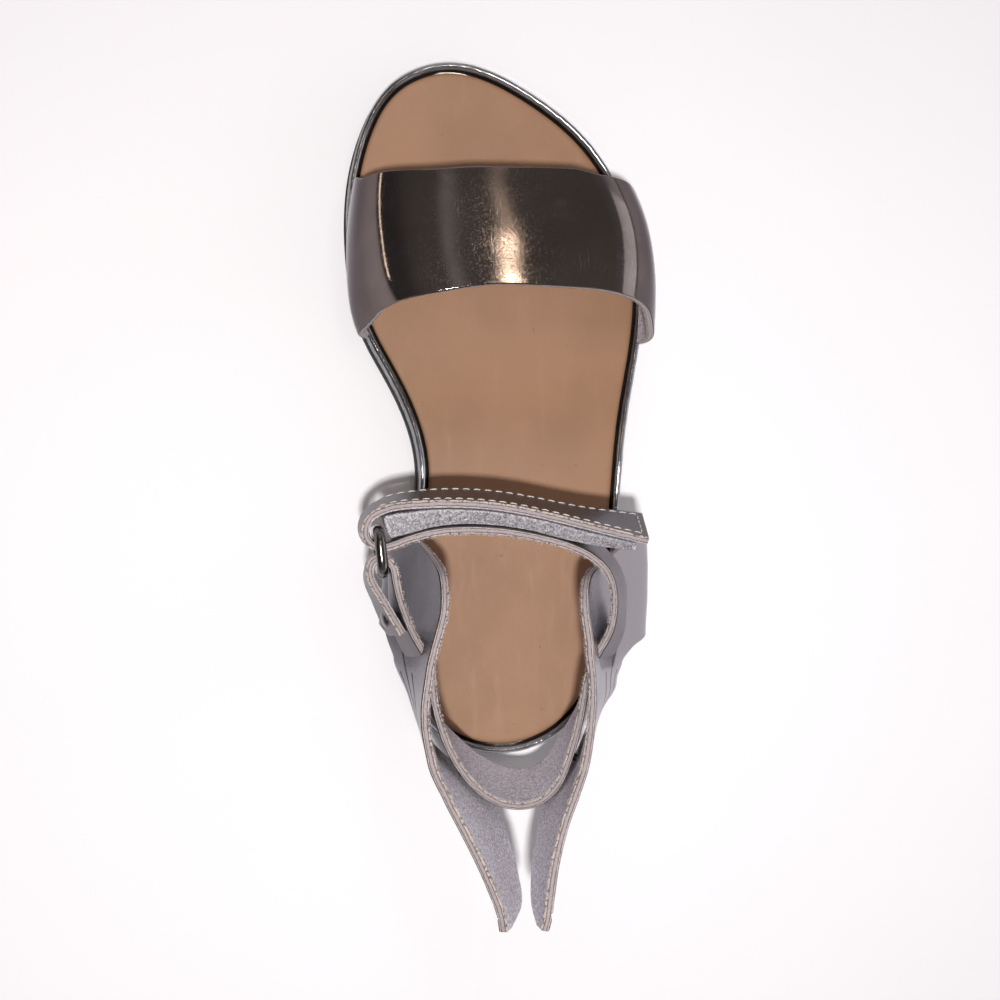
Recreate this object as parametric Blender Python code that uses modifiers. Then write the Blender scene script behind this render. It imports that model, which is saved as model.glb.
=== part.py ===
# Winged baby sandal for the right foot. Toe points to +Y, the little-toe side is +X, Z is up.
# All sizes and tables are in millimetres; meshes are made in metres.
import math

import bmesh
import bpy
import numpy as np
from mathutils import Vector

for leftover in list(bpy.data.objects):
    bpy.data.objects.remove(leftover)

MM = 0.001
GAP = 0.3                      # air between pieces that meet
WELD = 0.01                    # points closer than this are one

# sole
SOLE_LENGTH = 138.0
TOE_X = -13.1                  # where the toe end lies
HEEL_X = -1.5                  # where the heel end lies
SOLE_POINTS_PER_SIDE = 34
ARCH_REAR, ARCH_FRONT, ARCH_RISE = 40.0, 80.0, 1.2
TOE_SPRING_START, TOE_SPRING = 106.0, 3.2
SOLE_SECTIONS = (
    # y, medial edge, lateral edge
    (4.0, -14.6, 9.8),
    (12.0, -20.7, 16.6),
    (24.0, -23.1, 20.1),
    (40.0, -22.2, 21.5),
    (56.0, -19.3, 22.4),
    (66.0, -21.1, 23.4),
    (76.0, -25.7, 25.2),
    (86.0, -30.8, 26.7),
    (98.0, -33.2, 26.8),
    (112.0, -33.4, 23.2),
    (124.0, -30.7, 15.2),
    (133.0, -25.3, 3.0),
)
OUTSOLE_PROFILE = ((1.0, 0.0), (0.0, 0.8), (0.0, 3.4), (0.4, 3.8))   # inset, height
RIM_PROFILE = (                                                       # inset, height
    (0.9, 4.1), (0.5, 4.5), (0.45, 7.5), (0.6, 8.05), (0.95, 8.4),
    (1.35, 8.4), (1.75, 8.05), (1.9, 7.5), (1.95, 6.6),
)
INSOLE_PROFILE = ((2.5, 6.9), (2.4, 7.3), (2.7, 7.65), (3.3, 7.75))   # inset, height

# where leather enters the rim
SEAT_INSET = 1.25              # middle of the leather, measured in from the sole's edge
SEAT_Z = 6.0                   # where the leather ends inside its notch
NOTCH_INSETS = (-1.0, 3.2)
NOTCH_LOW, NOTCH_TOP = 5.1, 12.0
NOTCH_SPARE = 0.6              # room at each end of a notch

# front strap
STRAP_THICKNESS = 1.6
STRAP_CROWN_Z = 37.2
STRAP_CROWN_LIFT = 2.4         # how much of that height is a low arch over the top
STRAP_ROUNDING = (0.25, 0.32)  # smaller is squarer: medial half, lateral half
STRAP_HEIGHT_POWER = 0.78
STRAP_MEDIAL_BELLY = (-0.8, 2.0)   # bulge outward near the sole: at the front edge, at the rear edge
STRAP_LATERAL_BELLY = (0.0, 1.5)
STRAP_COLUMNS, STRAP_ROWS_ACROSS = 44, 6
STRAP_EDGES = (
    # reach from the medial seat (-1) to the lateral one (1), front edge y, rear edge y
    (-1.0, 113.0, 83.4),
    (-0.92, 111.2, 86.3),
    (-0.6, 110.7, 88.1),
    (-0.15, 110.9, 89.7),
    (0.45, 111.1, 89.3),
    (0.65, 110.2, 88.7),
    (0.9, 110.0, 86.9),
    (1.0, 112.0, 82.8),
)

# wings
WING_THICKNESS = 1.5
WALL_Z = 48.0                  # height at which wall_x is given
SCALLOP_DEPTH = 1.7
WING_MEDIAL = (
    # y, wall_x, lean (toward +x for each mm down), belly outward, lower edge z, upper edge z
    (47.4, -16.2, 0.0, 4.3, SEAT_Z, 10.0),
    (46.3, -16.2, 0.0, 4.6, SEAT_Z, 18.0),
    (44.3, -16.2, 0.0, 5.0, SEAT_Z, 27.0),
    (41.2, -16.3, 0.0, 5.1, SEAT_Z, 36.0),
    (37.4, -16.3, 0.0, 5.2, SEAT_Z, 44.3),
    (32.0, -16.7, 0.0, 5.2, SEAT_Z, 47.4),
    (27.3, -17.9, 0.0, 5.2, SEAT_Z, 48.0),
    (26.9, -18.0, -0.095, 5.2, 16.0, 48.0),
    (25.6, -18.4, -0.092, 5.0, 21.5, 48.1),
    (21.5, -19.4, -0.08, 3.0, 23.2, 48.5),
    (14.0, -20.3, 0.0, 0.8, 24.5, 49.3),
    (6.0, -19.1, 0.04, 0.0, 27.0, 50.5),
    (0.0, -15.8, 0.2, 0.0, 29.5, 52.0),
    (-4.0, -13.0, 0.29, 0.0, 31.8, 53.3),
    (-10.9, -8.5, 0.34, 0.0, 37.8, 55.6),
    (-16.0, -5.9, 0.33, 0.0, 43.2, 57.2),
    (-19.6, -4.3, 0.37, 0.0, 49.3, 58.0),
    (-20.9, -4.2, 0.37, 0.0, 55.3, 57.6),
)
WING_LATERAL = (
    # y, wall_x, lean (toward +x for each mm down), belly outward, lower edge z, upper edge z
    (45.9, 7.2, 0.0, 6.8, SEAT_Z, 10.0),
    (44.8, 7.2, 0.0, 7.1, SEAT_Z, 18.0),
    (43.0, 7.2, 0.0, 7.5, SEAT_Z, 24.5),
    (40.2, 7.1, 0.0, 7.8, SEAT_Z, 32.5),
    (36.8, 7.1, 0.0, 8.0, SEAT_Z, 43.0),
    (31.5, 7.5, 0.0, 8.1, SEAT_Z, 47.2),
    (25.0, 8.4, 0.0, 8.1, SEAT_Z, 48.0),
    (24.6, 8.4, 0.255, 8.1, 17.0, 48.0),
    (23.4, 8.5, 0.262, 7.2, 23.0, 48.1),
    (20.5, 8.9, 0.31, 3.0, 25.3, 48.5),
    (16.5, 9.1, 0.34, 0.0, 26.0, 48.9),
    (11.5, 8.7, 0.24, 0.0, 27.2, 49.5),
    (6.0, 7.8, 0.17, 0.0, 29.0, 50.6),
    (0.0, 5.6, 0.12, 0.0, 30.5, 52.2),
    (-4.3, 3.4, 0.03, 0.0, 32.0, 53.4),
    (-10.9, 1.1, -0.01, 0.0, 38.4, 55.4),
    (-16.0, -0.3, -0.04, 0.0, 44.5, 57.2),
    (-19.2, -1.2, -0.07, 0.0, 49.5, 57.9),
    (-20.9, -1.7, -0.08, 0.0, 55.3, 57.7),
)
WING_ROWS_ACROSS = 9
WING_COLUMNS = 40
UNDER_WING_STEP = 0.9          # spacing of points along the scalloped edge
UNDER_WING_REACH = 45.0        # how far the cut runs to each side of the middle
MEDIAL_CUSPS = (21.5, 11.0, 0.0, -10.9, -20.9)
LATERAL_CUSPS = (20.5, 10.5, 0.0, -10.9, -20.9)

# ankle strap: one long strip, given along its upper edge
ANKLE_THICKNESS = 1.4
ANKLE_ROUTE = (
    # x, y, upper edge z, width, lean of the lower edge to the right of travel (degrees)
    (-23.7, 27.4, 42.4, 10.4, -10.0),
    (-25.7, 30.8, 43.4, 10.6, -9.0),
    (-27.6, 34.0, 44.8, 10.8, -6.0),
    (-29.2, 36.8, 46.2, 11.0, -3.0),
    (-29.6, 38.9, 46.9, 11.0, 0.0),
    (-28.7, 40.5, 47.0, 11.0, 0.0),
    (-27.2, 40.7, 47.0, 11.0, 0.0),
    (-25.8, 39.6, 46.9, 11.0, 0.0),
    (-25.2, 37.4, 46.4, 11.0, 1.0),
    (-24.4, 34.0, 45.0, 10.8, 5.0),
    (-23.3, 30.8, 43.5, 10.6, 10.0),
    (-22.0, 27.7, 42.4, 10.5, 13.0),
    (-20.3, 24.7, 41.7, 10.8, 14.0),
    (-18.7, 21.5, 41.1, 11.2, 11.0),
    (-18.2, 17.0, 40.4, 12.2, 5.0),
    (-17.2, 11.8, 39.8, 13.8, 2.0),
    (-15.3, 6.6, 39.3, 15.4, -5.0),
    (-12.2, 1.5, 39.0, 16.8, -10.0),
    (-8.3, -2.2, 39.0, 17.6, -12.0),
    (-3.5, -3.9, 39.0, 18.0, -11.0),
    (1.1, -3.1, 39.0, 17.6, -8.0),
    (4.2, -0.3, 39.0, 16.8, -3.0),
    (6.3, 4.6, 39.3, 15.4, 1.0),
    (7.7, 9.8, 39.8, 13.8, 6.0),
    (8.6, 14.8, 40.3, 12.2, 12.0),
    (9.5, 19.8, 41.0, 11.2, 18.0),
    (11.3, 24.0, 41.6, 11.0, 22.0),
    (13.0, 27.4, 42.4, 11.0, 22.0),
    (13.6, 30.9, 43.3, 11.0, 20.0),
    (13.4, 34.4, 44.4, 11.0, 20.0),
    (12.2, 37.8, 45.5, 11.0, 18.0),
    (9.2, 40.7, 46.7, 11.0, 16.0),
    (4.4, 42.9, 47.8, 11.0, 14.0),
    (-1.0, 44.3, 48.6, 11.0, 13.0),
    (-7.0, 45.3, 48.9, 11.0, 13.0),
    (-13.5, 45.6, 48.9, 11.0, 12.0),
    (-19.5, 45.0, 48.8, 11.0, 10.0),
    (-24.2, 43.6, 48.7, 11.0, 5.0),
    (-27.4, 42.7, 48.6, 11.0, 2.0),
    (-29.5, 43.3, 48.6, 11.0, 0.0),
    (-30.4, 45.3, 48.6, 11.0, -2.0),
    (-29.7, 47.5, 48.6, 11.0, -4.0),
    (-27.2, 49.1, 48.6, 11.0, -7.0),
    (-22.5, 49.9, 48.8, 11.0, -10.0),
    (-15.0, 50.1, 48.9, 11.0, -12.0),
    (-7.0, 49.5, 48.9, 11.0, -13.0),
    (0.0, 48.2, 48.7, 11.0, -14.0),
    (7.0, 46.5, 48.3, 11.0, -16.0),
    (13.0, 45.0, 47.8, 11.0, -20.0),
    (19.0, 43.6, 47.2, 11.0, -24.0),
)
ANKLE_COLUMNS = 150
ANKLE_ROWS_ACROSS = 2

# fastener pad between the two runs over the instep
PAD_THICKNESS = 1.7
PAD_WIDTH = 9.4
PAD_ROUTE = (
    # x, y, upper edge z, width, lean of the lower edge to the right of travel (degrees)
    (16.0, 42.35, 46.7, PAD_WIDTH, 22.0),
    (10.6, 43.6, 47.3, PAD_WIDTH, 18.5),
    (4.4, 45.05, 47.8, PAD_WIDTH, 15.5),
    (-1.0, 46.35, 48.1, PAD_WIDTH, 14.0),
    (-7.0, 47.4, 48.3, PAD_WIDTH, 13.0),
    (-13.5, 47.8, 48.3, PAD_WIDTH, 12.0),
    (-19.5, 47.45, 48.2, PAD_WIDTH, 10.0),
    (-24.5, 46.6, 48.1, PAD_WIDTH, 7.5),
)
PAD_COLUMNS, PAD_ROWS_ACROSS = 28, 2

# metal ring and rivets
RING_WIRE = 1.9
RING_FRONT_BAR = (-28.2, 45.6)  # x, y of the bar that carries the strap
RING_REAR_BAR = (-27.4, 38.2)   # x, y of the bar that carries the tab
RING_LOW_Z, RING_HIGH_Z = 33.5, 50.7
RING_SQUARENESS = 0.42
RING_POINTS = 32
RIVET_SHANK, RIVET_HEAD, RIVET_HEAD_HEIGHT = 1.4, 2.8, 0.6   # diameters and height
RIVET_SIDES = 16
RIVET_HOLE_SPARE = 3.0           # how far a hole's cutter runs past each head
TAB_RIVET_ROW = 10               # rows of the ankle route at which rivets stand
HEEL_RIVET_ROWS = (("medial", 17), ("lateral", 22))
HEEL_RIVET_ACROSS = 0.7

SMOOTH_BELOW = math.radians(40)  # edges that turn less than this are shaded smooth
SOLE_RUBBER = (0.03, 0.028, 0.028)
GUNMETAL_LEATHER = (0.11, 0.10, 0.10)
TAN_LEATHER = (0.40, 0.22, 0.13)
PEWTER_LEATHER = (0.30, 0.29, 0.30)
PAD_FABRIC = (0.34, 0.34, 0.36)
DARK_METAL = (0.06, 0.06, 0.065)


# Cubic curve through rows of numbers, smooth in slope and bend; the parameter is plan distance, 0 to 1.
def cubic_through(rows, closed=False):
    knots = np.array(rows, dtype=float)
    if closed:
        knots = np.vstack([knots, knots[:1]])
    steps = np.linalg.norm(np.diff(knots[:, :2], axis=0), axis=1)
    place = np.concatenate([[0.0], np.cumsum(steps)])
    last = len(knots) - 1
    system = np.eye(last + 1)
    right = np.zeros_like(knots)
    slopes = np.diff(knots, axis=0) / steps[:, None]
    for i in range(1, last):
        system[i, i - 1:i + 2] = steps[i - 1], 2 * (steps[i - 1] + steps[i]), steps[i]
        right[i] = 6 * (slopes[i] - slopes[i - 1])
    if closed:
        system[0, last] = -1.0
        system[last, 0], system[last, 1] = 2 * steps[0], steps[0]
        system[last, last - 1], system[last, last] = steps[-1], 2 * steps[-1]
        right[last] = 6 * (slopes[0] - slopes[-1])
    bend = np.linalg.solve(system, right)

    def at(share):
        where = np.clip(np.atleast_1d(share), 0.0, 1.0) * place[-1]
        i = np.clip(np.searchsorted(place, where, side="right") - 1, 0, last - 1)
        step = steps[i][:, None]
        b = (where - place[i])[:, None] / step
        a = 1.0 - b
        curl = (a ** 3 - a) * bend[i] + (b ** 3 - b) * bend[i + 1]
        return a * knots[i] + b * knots[i + 1] + curl * step ** 2 / 6

    at.shares = place / place[-1]
    return at


# Curve through table rows that never overshoots; the first column is the place along the piece.
def steady_through(rows):
    knots = np.array(sorted(rows), dtype=float)
    place, values = knots[:, 0], knots[:, 1:]
    steps = np.diff(place)
    slopes = np.diff(values, axis=0) / steps[:, None]
    lean = np.zeros_like(values)
    lean[0], lean[-1] = slopes[0], slopes[-1]
    same_way = slopes[:-1] * slopes[1:] > 0
    middle = 2 * slopes[:-1] * slopes[1:] / np.where(same_way, slopes[:-1] + slopes[1:], 1.0)
    lean[1:-1] = np.where(same_way, middle, 0.0)

    def at(where):
        i = int(np.clip(np.searchsorted(place, where, side="right") - 1, 0, len(steps) - 1))
        t = np.clip((where - place[i]) / steps[i], 0.0, 1.0)
        rise, step = t * t * (3 - 2 * t), steps[i]
        return (values[i] * (1 - rise) + values[i + 1] * rise
                + lean[i] * step * t * (1 - t) ** 2 - lean[i + 1] * step * t * t * (1 - t))

    return at


# Height added by the arch under the waist and by the toe spring.
def sole_rise(y):
    arch = np.clip((y - ARCH_REAR) / (ARCH_FRONT - ARCH_REAR), 0.0, 1.0)
    toe = np.clip((y - TOE_SPRING_START) / (SOLE_LENGTH - TOE_SPRING_START), 0.0, 1.0)
    return ARCH_RISE * np.sin(math.pi * arch) ** 2 + TOE_SPRING * toe ** 2


lateral_edge = [(lateral, y) for y, medial, lateral in SOLE_SECTIONS]
medial_edge = [(medial, y) for y, medial, lateral in reversed(SOLE_SECTIONS)]
sole_outline = cubic_through(
    [(HEEL_X, 0.0), *lateral_edge, (TOE_X, SOLE_LENGTH), *medial_edge], closed=True)
TOE_SHARE = sole_outline.shares[len(SOLE_SECTIONS) + 1]


# Points of the outline moved in by an inset.
def outline_points(shares, inset):
    ahead, behind = sole_outline((shares + 1e-4) % 1.0), sole_outline((shares - 1e-4) % 1.0)
    along = ahead - behind
    along /= np.linalg.norm(along, axis=1)[:, None]
    return sole_outline(shares) + inset * np.stack([-along[:, 1], along[:, 0]], axis=1)


# One closed loop round the sole: heel end, lateral side, toe end, medial side.
def sole_loop(inset, height):
    side = np.linspace(0.0, 1.0, SOLE_POINTS_PER_SIDE + 1)[:-1]
    shares = np.concatenate([side * TOE_SHARE, TOE_SHARE + side * (1 - TOE_SHARE)])
    points = outline_points(shares, inset)
    return np.column_stack([points, height + sole_rise(points[:, 1])])


# Where leather stands on the sole's edge at a given y.
def seat_x(side, y, inset=SEAT_INSET):
    span = (0.0, TOE_SHARE) if side == "lateral" else (1.0, TOE_SHARE)
    points = outline_points(np.linspace(*span, 400)[5:-5], inset)
    return float(np.interp(y, points[:, 1], points[:, 0]))


# How far leather bulges near the sole: 0 at the foot, 1 a quarter of the way up, 0 at the top.
def belly_shape(share):
    share = min(max(share, 0.0), 1.0)
    return 256.0 / 27.0 * share * (1 - share) ** 3


collection = bpy.data.collections.new("winged_baby_sandal")
cutters = bpy.data.collections.new("cutters")
bpy.context.scene.collection.children.link(collection)
bpy.context.scene.collection.children.link(cutters)
shoe = bpy.data.objects.new("shoe", None)     # parent of every piece and cutter
bpy.context.scene.collection.objects.link(shoe)


def material(name, colour, metallic, roughness):
    made = bpy.data.materials.new(name)
    made.use_nodes = True
    shader = made.node_tree.nodes["Principled BSDF"]
    shader.inputs["Base Color"].default_value = (*colour, 1.0)
    shader.inputs["Metallic"].default_value = metallic
    shader.inputs["Roughness"].default_value = roughness
    return made


rubber = material("sole_rubber", SOLE_RUBBER, 0.0, 0.7)
gunmetal = material("gunmetal_leather", GUNMETAL_LEATHER, 0.4, 0.3)
tan = material("tan_leather", TAN_LEATHER, 0.0, 0.6)
pewter = material("pewter_leather", PEWTER_LEATHER, 0.4, 0.4)
fabric = material("pad_fabric", PAD_FABRIC, 0.0, 0.8)
metal = material("dark_metal", DARK_METAL, 1.0, 0.25)


# Puts a mesh or curve in the scene: with a surface it is a piece of the shoe, without one a cutter.
def place_object(name, data, surface=None):
    made = bpy.data.objects.new(name, data)
    made.parent = shoe
    if surface is None:
        cutters.objects.link(made)
        made.hide_render = True
        made.display_type = "WIRE"
    else:
        collection.objects.link(made)
        data.materials.append(surface)
    return made


def add_object(name, bm, surface=None):
    mesh = bpy.data.meshes.new(name)
    bm.to_mesh(mesh)
    bm.free()
    mesh.shade_smooth()
    mesh.set_sharp_from_angle(angle=SMOOTH_BELOW)
    return place_object(name, mesh, surface)


# Solid made of loops stacked one on the next; ends closed by strips across from side to side.
def stacked(name, loops, surface=None):
    bm = bmesh.new()
    rings = [[bm.verts.new(point * MM) for point in loop] for loop in loops]
    count = len(rings[0])
    for low, high in zip(rings, rings[1:]):
        for i in range(count):
            j = (i + 1) % count
            bm.faces.new((low[i], low[j], high[j], high[i]))
    for ring, flip in ((rings[0], True), (rings[-1], False)):
        for i in range(count // 2):
            corners = [ring[i], ring[i + 1], ring[-i - 1], ring[-i % count]]
            corners = list(dict.fromkeys(corners))
            bm.faces.new(corners[::-1] if flip else corners)
    bmesh.ops.recalc_face_normals(bm, faces=bm.faces)
    return add_object(name, bm, surface)


# Leather made from a bent grid with thickness on both sides of its middle.
def sheet(name, place, columns, rows, thickness, surface=None):
    bm = bmesh.new()
    bmesh.ops.create_grid(bm, x_segments=len(columns) - 1, y_segments=len(rows) - 1, size=0.5)
    for vert in bm.verts:
        i = round((vert.co.x + 0.5) * (len(columns) - 1))
        j = round((vert.co.y + 0.5) * (len(rows) - 1))
        vert.co = np.array(place(columns[i], rows[j])) * MM
    made = add_object(name, bm, surface)
    solid = made.modifiers.new("thickness", "SOLIDIFY")
    solid.thickness, solid.offset = thickness * MM, 0.0
    solid.use_even_offset = True
    return made


def cut(target, cutter):
    hole = target.modifiers.new("cut_" + cutter.name, "BOOLEAN")
    hole.operation, hole.solver, hole.object = "DIFFERENCE", "EXACT", cutter


# Front strap: a squared arch from seat to seat; share 0 is the medial seat, across 0 is the front edge.
strap_edges = steady_through(STRAP_EDGES)


def front_strap_place(share, across):
    side = -math.cos(math.pi * share)
    power = STRAP_ROUNDING[0] if side < 0 else STRAP_ROUNDING[1]
    reach = math.copysign(abs(side) ** power, side)
    height = math.sin(math.pi * share) ** STRAP_HEIGHT_POWER
    front, rear = strap_edges(reach)
    medial, lateral = (
        seat_x(name, end_front + (end_rear - end_front) * across)
        for name, (end, end_front, end_rear) in (("medial", STRAP_EDGES[0]), ("lateral", STRAP_EDGES[-1])))
    x = (medial + lateral) / 2 + (lateral - medial) / 2 * reach
    belly_front, belly_rear = STRAP_MEDIAL_BELLY if side < 0 else STRAP_LATERAL_BELLY
    outward = math.copysign(1.0, side)
    x += outward * (belly_front + (belly_rear - belly_front) * across) * belly_shape(height)
    z = SEAT_Z + (STRAP_CROWN_Z - STRAP_CROWN_LIFT - SEAT_Z) * height + STRAP_CROWN_LIFT * (1 - reach ** 2)
    return x, front + (rear - front) * across, z


# Shares that cut a sheet's middle line into equal lengths.
def even_shares(place, count):
    shares = np.linspace(0.0, 1.0, 1001)
    line = np.array([place(share, 0.5) for share in shares])
    length = np.concatenate([[0.0], np.cumsum(np.linalg.norm(np.diff(line, axis=0), axis=1))])
    return np.interp(np.linspace(0.0, length[-1], count + 1), length, shares)


# Wing: a wall over the side view, from the sole's edge up to the upper edge.
def wing_maker(rows, side, cusps):
    outward = 1.0 if side == "lateral" else -1.0
    seated = []
    for y, wall_x, lean, belly, low, high in rows:
        if low == SEAT_Z:
            lean = (seat_x(side, y) - wall_x) / (WALL_Z - SEAT_Z)
        seated.append((y, wall_x, lean, belly, low, high))
    table = steady_through(seated)

    def wall(y, z):
        wall_x, lean, belly, low, high = table(y)
        lift = (z - SEAT_Z) / (WALL_Z - SEAT_Z)
        return wall_x + lean * (WALL_Z - z) + outward * belly * belly_shape(lift)

    def place(y, across):
        z = SEAT_Z + (table(y)[-1] - SEAT_Z) * across
        return wall(y, z), y, z

    # Lower edge in side view: rounded feather ends that hang between cusps.
    def lower_edge(y):
        low = table(y)[-2]
        for front, rear in zip(cusps, cusps[1:]):
            if rear < y < front:
                share = (y - rear) / (front - rear)
                low -= SCALLOP_DEPTH * math.sqrt(4 * share * (1 - share))
        return low

    return place, wall, lower_edge


# What is cut from under a wing: a side-view shape carried straight across the shoe.
def under_wing(name, rows, cusps, lower_edge):
    start = max(row[0] for row in rows if row[4] > SEAT_Z)
    end = cusps[-1]
    marks = sorted({row[0] for row in rows if end <= row[0] <= start} | set(cusps), reverse=True)
    outline = [(start + 0.2, 0.0)]
    for high, low in zip(marks, marks[1:]):
        parts = max(1, round((high - low) / UNDER_WING_STEP))
        outline += [(y, lower_edge(y)) for y in np.linspace(high, low, parts, endpoint=False)]
    outline += [(end, lower_edge(end)), (end - 3.0, lower_edge(end)), (end - 3.0, 0.0)]
    return flat_cutter(name, outline, UNDER_WING_REACH, (math.pi / 2, 0.0, math.pi / 2))


# Flat outline with thickness to both sides of its plane, turned into place and made a mesh that can cut.
def flat_cutter(name, outline, reach, rotation):
    shape = bpy.data.curves.new(name, "CURVE")
    shape.dimensions, shape.fill_mode, shape.extrude = "2D", "BOTH", reach * MM
    edge = shape.splines.new("POLY")
    edge.points.add(len(outline) - 1)
    edge.use_cyclic_u = True
    for point, (across, up) in zip(edge.points, outline):
        point.co = (across * MM, up * MM, 0.0, 1.0)
    drawn = place_object(name + "_outline", shape)
    drawn.rotation_euler = rotation
    bpy.context.view_layer.update()
    mesh = bpy.data.meshes.new_from_object(drawn.evaluated_get(bpy.context.evaluated_depsgraph_get()))
    bm = bmesh.new()
    bm.from_mesh(mesh)
    bmesh.ops.remove_doubles(bm, verts=bm.verts, dist=WELD * MM)
    bmesh.ops.recalc_face_normals(bm, faces=bm.faces)
    made = add_object(name, bm)
    made.matrix_world = drawn.matrix_world
    bpy.data.objects.remove(drawn)
    return made


# Long strip from a route along its upper edge; across 0 is the lower edge, 1 the upper one.
def strip_place_maker(route, spare=0.0):
    path = cubic_through(route)

    def place(share, across):
        x, y, z, width, lean = path(share)[0]
        along = path(min(share + 1e-3, 1.0))[0] - path(max(share - 1e-3, 0.0))[0]
        along /= math.hypot(along[0], along[1])
        down = width * (1 - across) + spare * (1 - 2 * across)
        aside = down * math.sin(math.radians(lean))
        return (x + aside * along[1], y - aside * along[0],
                z - down * math.cos(math.radians(lean)))

    return place


# Rivet through two layers: a profile turned about the line from the inner leather face to the outer one.
def rivet(name, inner, outer, surface):
    axis = Vector(outer - inner)
    length, head, shank = axis.length, RIVET_HEAD / 2, RIVET_SHANK / 2
    dome = (
        # radius, height above the head's rim
        (0.0, RIVET_HEAD_HEIGHT), (head * 0.55, RIVET_HEAD_HEIGHT), (head * 0.9, RIVET_HEAD_HEIGHT * 0.5),
        (head, 0.0), (shank, 0.0),
    )
    profile = [(radius, length + up) for radius, up in dome] + [(radius, -up) for radius, up in reversed(dome)]
    bm = bmesh.new()
    line = [bm.verts.new((radius * MM, 0.0, along * MM)) for radius, along in profile]
    for upper, lower in zip(line, line[1:]):
        bm.edges.new((upper, lower))
    made = add_object(name, bm, surface)
    turned = made.modifiers.new("turned", "SCREW")
    turned.steps = turned.render_steps = RIVET_SIDES
    turned.use_merge_vertices, turned.merge_threshold = True, WELD * MM
    bm = bmesh.new()
    bmesh.ops.create_cone(bm, cap_ends=True, segments=RIVET_SIDES, radius1=(shank + GAP) * MM,
                          radius2=(shank + GAP) * MM, depth=(length + 2 * RIVET_HOLE_SPARE) * MM)
    hole = add_object(name + "_hole", bm)
    made.location, hole.location = inner * MM, (inner + outer) / 2 * MM
    made.rotation_euler = hole.rotation_euler = axis.to_track_quat("Z", "Y").to_euler()
    return made, hole


# Points on both faces of a strip, and how far a wing stands off it, to place a rivet.
def strip_normal(place, share, across):
    middle = np.array(place(share, across))
    along = np.array(place(share + 2e-3, across)) - np.array(place(share - 2e-3, across))
    upward = np.array(place(share, across + 0.05)) - np.array(place(share, across - 0.05))
    normal = np.cross(along, upward)
    return middle, normal / np.linalg.norm(normal)


# sole pieces
outsole = stacked("outsole", [sole_loop(*row) for row in OUTSOLE_PROFILE], rubber)
footbed = stacked("footbed", [sole_loop(*row) for row in RIM_PROFILE], gunmetal)
insole = stacked("insole", [sole_loop(*row) for row in INSOLE_PROFILE], tan)

# front strap
front_strap = sheet("front_strap", front_strap_place, even_shares(front_strap_place, STRAP_COLUMNS),
                    np.linspace(0.0, 1.0, STRAP_ROWS_ACROSS + 1), STRAP_THICKNESS, gunmetal)

# wings
across_wing = np.linspace(0.0, 1.0, WING_ROWS_ACROSS + 1)
wings, walls = {}, {}
for side, rows, cusps in (("medial", WING_MEDIAL, MEDIAL_CUSPS), ("lateral", WING_LATERAL, LATERAL_CUSPS)):
    place, walls[side], lower_edge = wing_maker(rows, side, cusps)
    stations = np.linspace(rows[-1][0], rows[0][0], WING_COLUMNS + 1)
    wings[side] = sheet("wing_" + side, place, stations, across_wing, WING_THICKNESS, pewter)
    cut(wings[side], under_wing("under_wing_" + side, rows, cusps, lower_edge))

# ankle strap and its pad
ankle_place = strip_place_maker(ANKLE_ROUTE)
ankle_strap = sheet("ankle_strap", ankle_place, np.linspace(0.0, 1.0, ANKLE_COLUMNS + 1),
                    np.linspace(0.0, 1.0, ANKLE_ROWS_ACROSS + 1), ANKLE_THICKNESS, pewter)
fastener_pad = sheet("fastener_pad", strip_place_maker(PAD_ROUTE), np.linspace(0.0, 1.0, PAD_COLUMNS + 1),
                     np.linspace(0.0, 1.0, PAD_ROWS_ACROSS + 1), PAD_THICKNESS, fabric)

# slits where the ankle strap passes through the wings
ankle_shares = cubic_through(ANKLE_ROUTE).shares
for wing, crossing in ((wings["medial"], 12), (wings["lateral"], 26)):
    span = np.linspace(ankle_shares[crossing - 2], ankle_shares[crossing + 2], 25)
    slit = sheet(wing.name + "_slit", strip_place_maker(ANKLE_ROUTE, GAP), span,
                 np.linspace(0.0, 1.0, ANKLE_ROWS_ACROSS + 1), ANKLE_THICKNESS + 2 * GAP)
    cut(wing, slit)

# notches in the rim
for name, side, y_low, y_high in (
        ("strap_medial", "medial", STRAP_EDGES[0][2], STRAP_EDGES[0][1]),
        ("strap_lateral", "lateral", STRAP_EDGES[-1][2], STRAP_EDGES[-1][1]),
        ("wing_medial", "medial", WING_MEDIAL[6][0], WING_MEDIAL[0][0]),
        ("wing_lateral", "lateral", WING_LATERAL[6][0], WING_LATERAL[0][0])):
    inset = sum(NOTCH_INSETS) / 2

    def notch_place(y, z):
        return seat_x(side, y, inset), y, z

    notch = sheet(name + "_notch", notch_place, np.linspace(y_low - NOTCH_SPARE, y_high + NOTCH_SPARE, 9),
                  np.linspace(NOTCH_LOW, NOTCH_TOP, 2), NOTCH_INSETS[1] - NOTCH_INSETS[0])
    cut(footbed, notch)
    cut(insole, notch)

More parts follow.
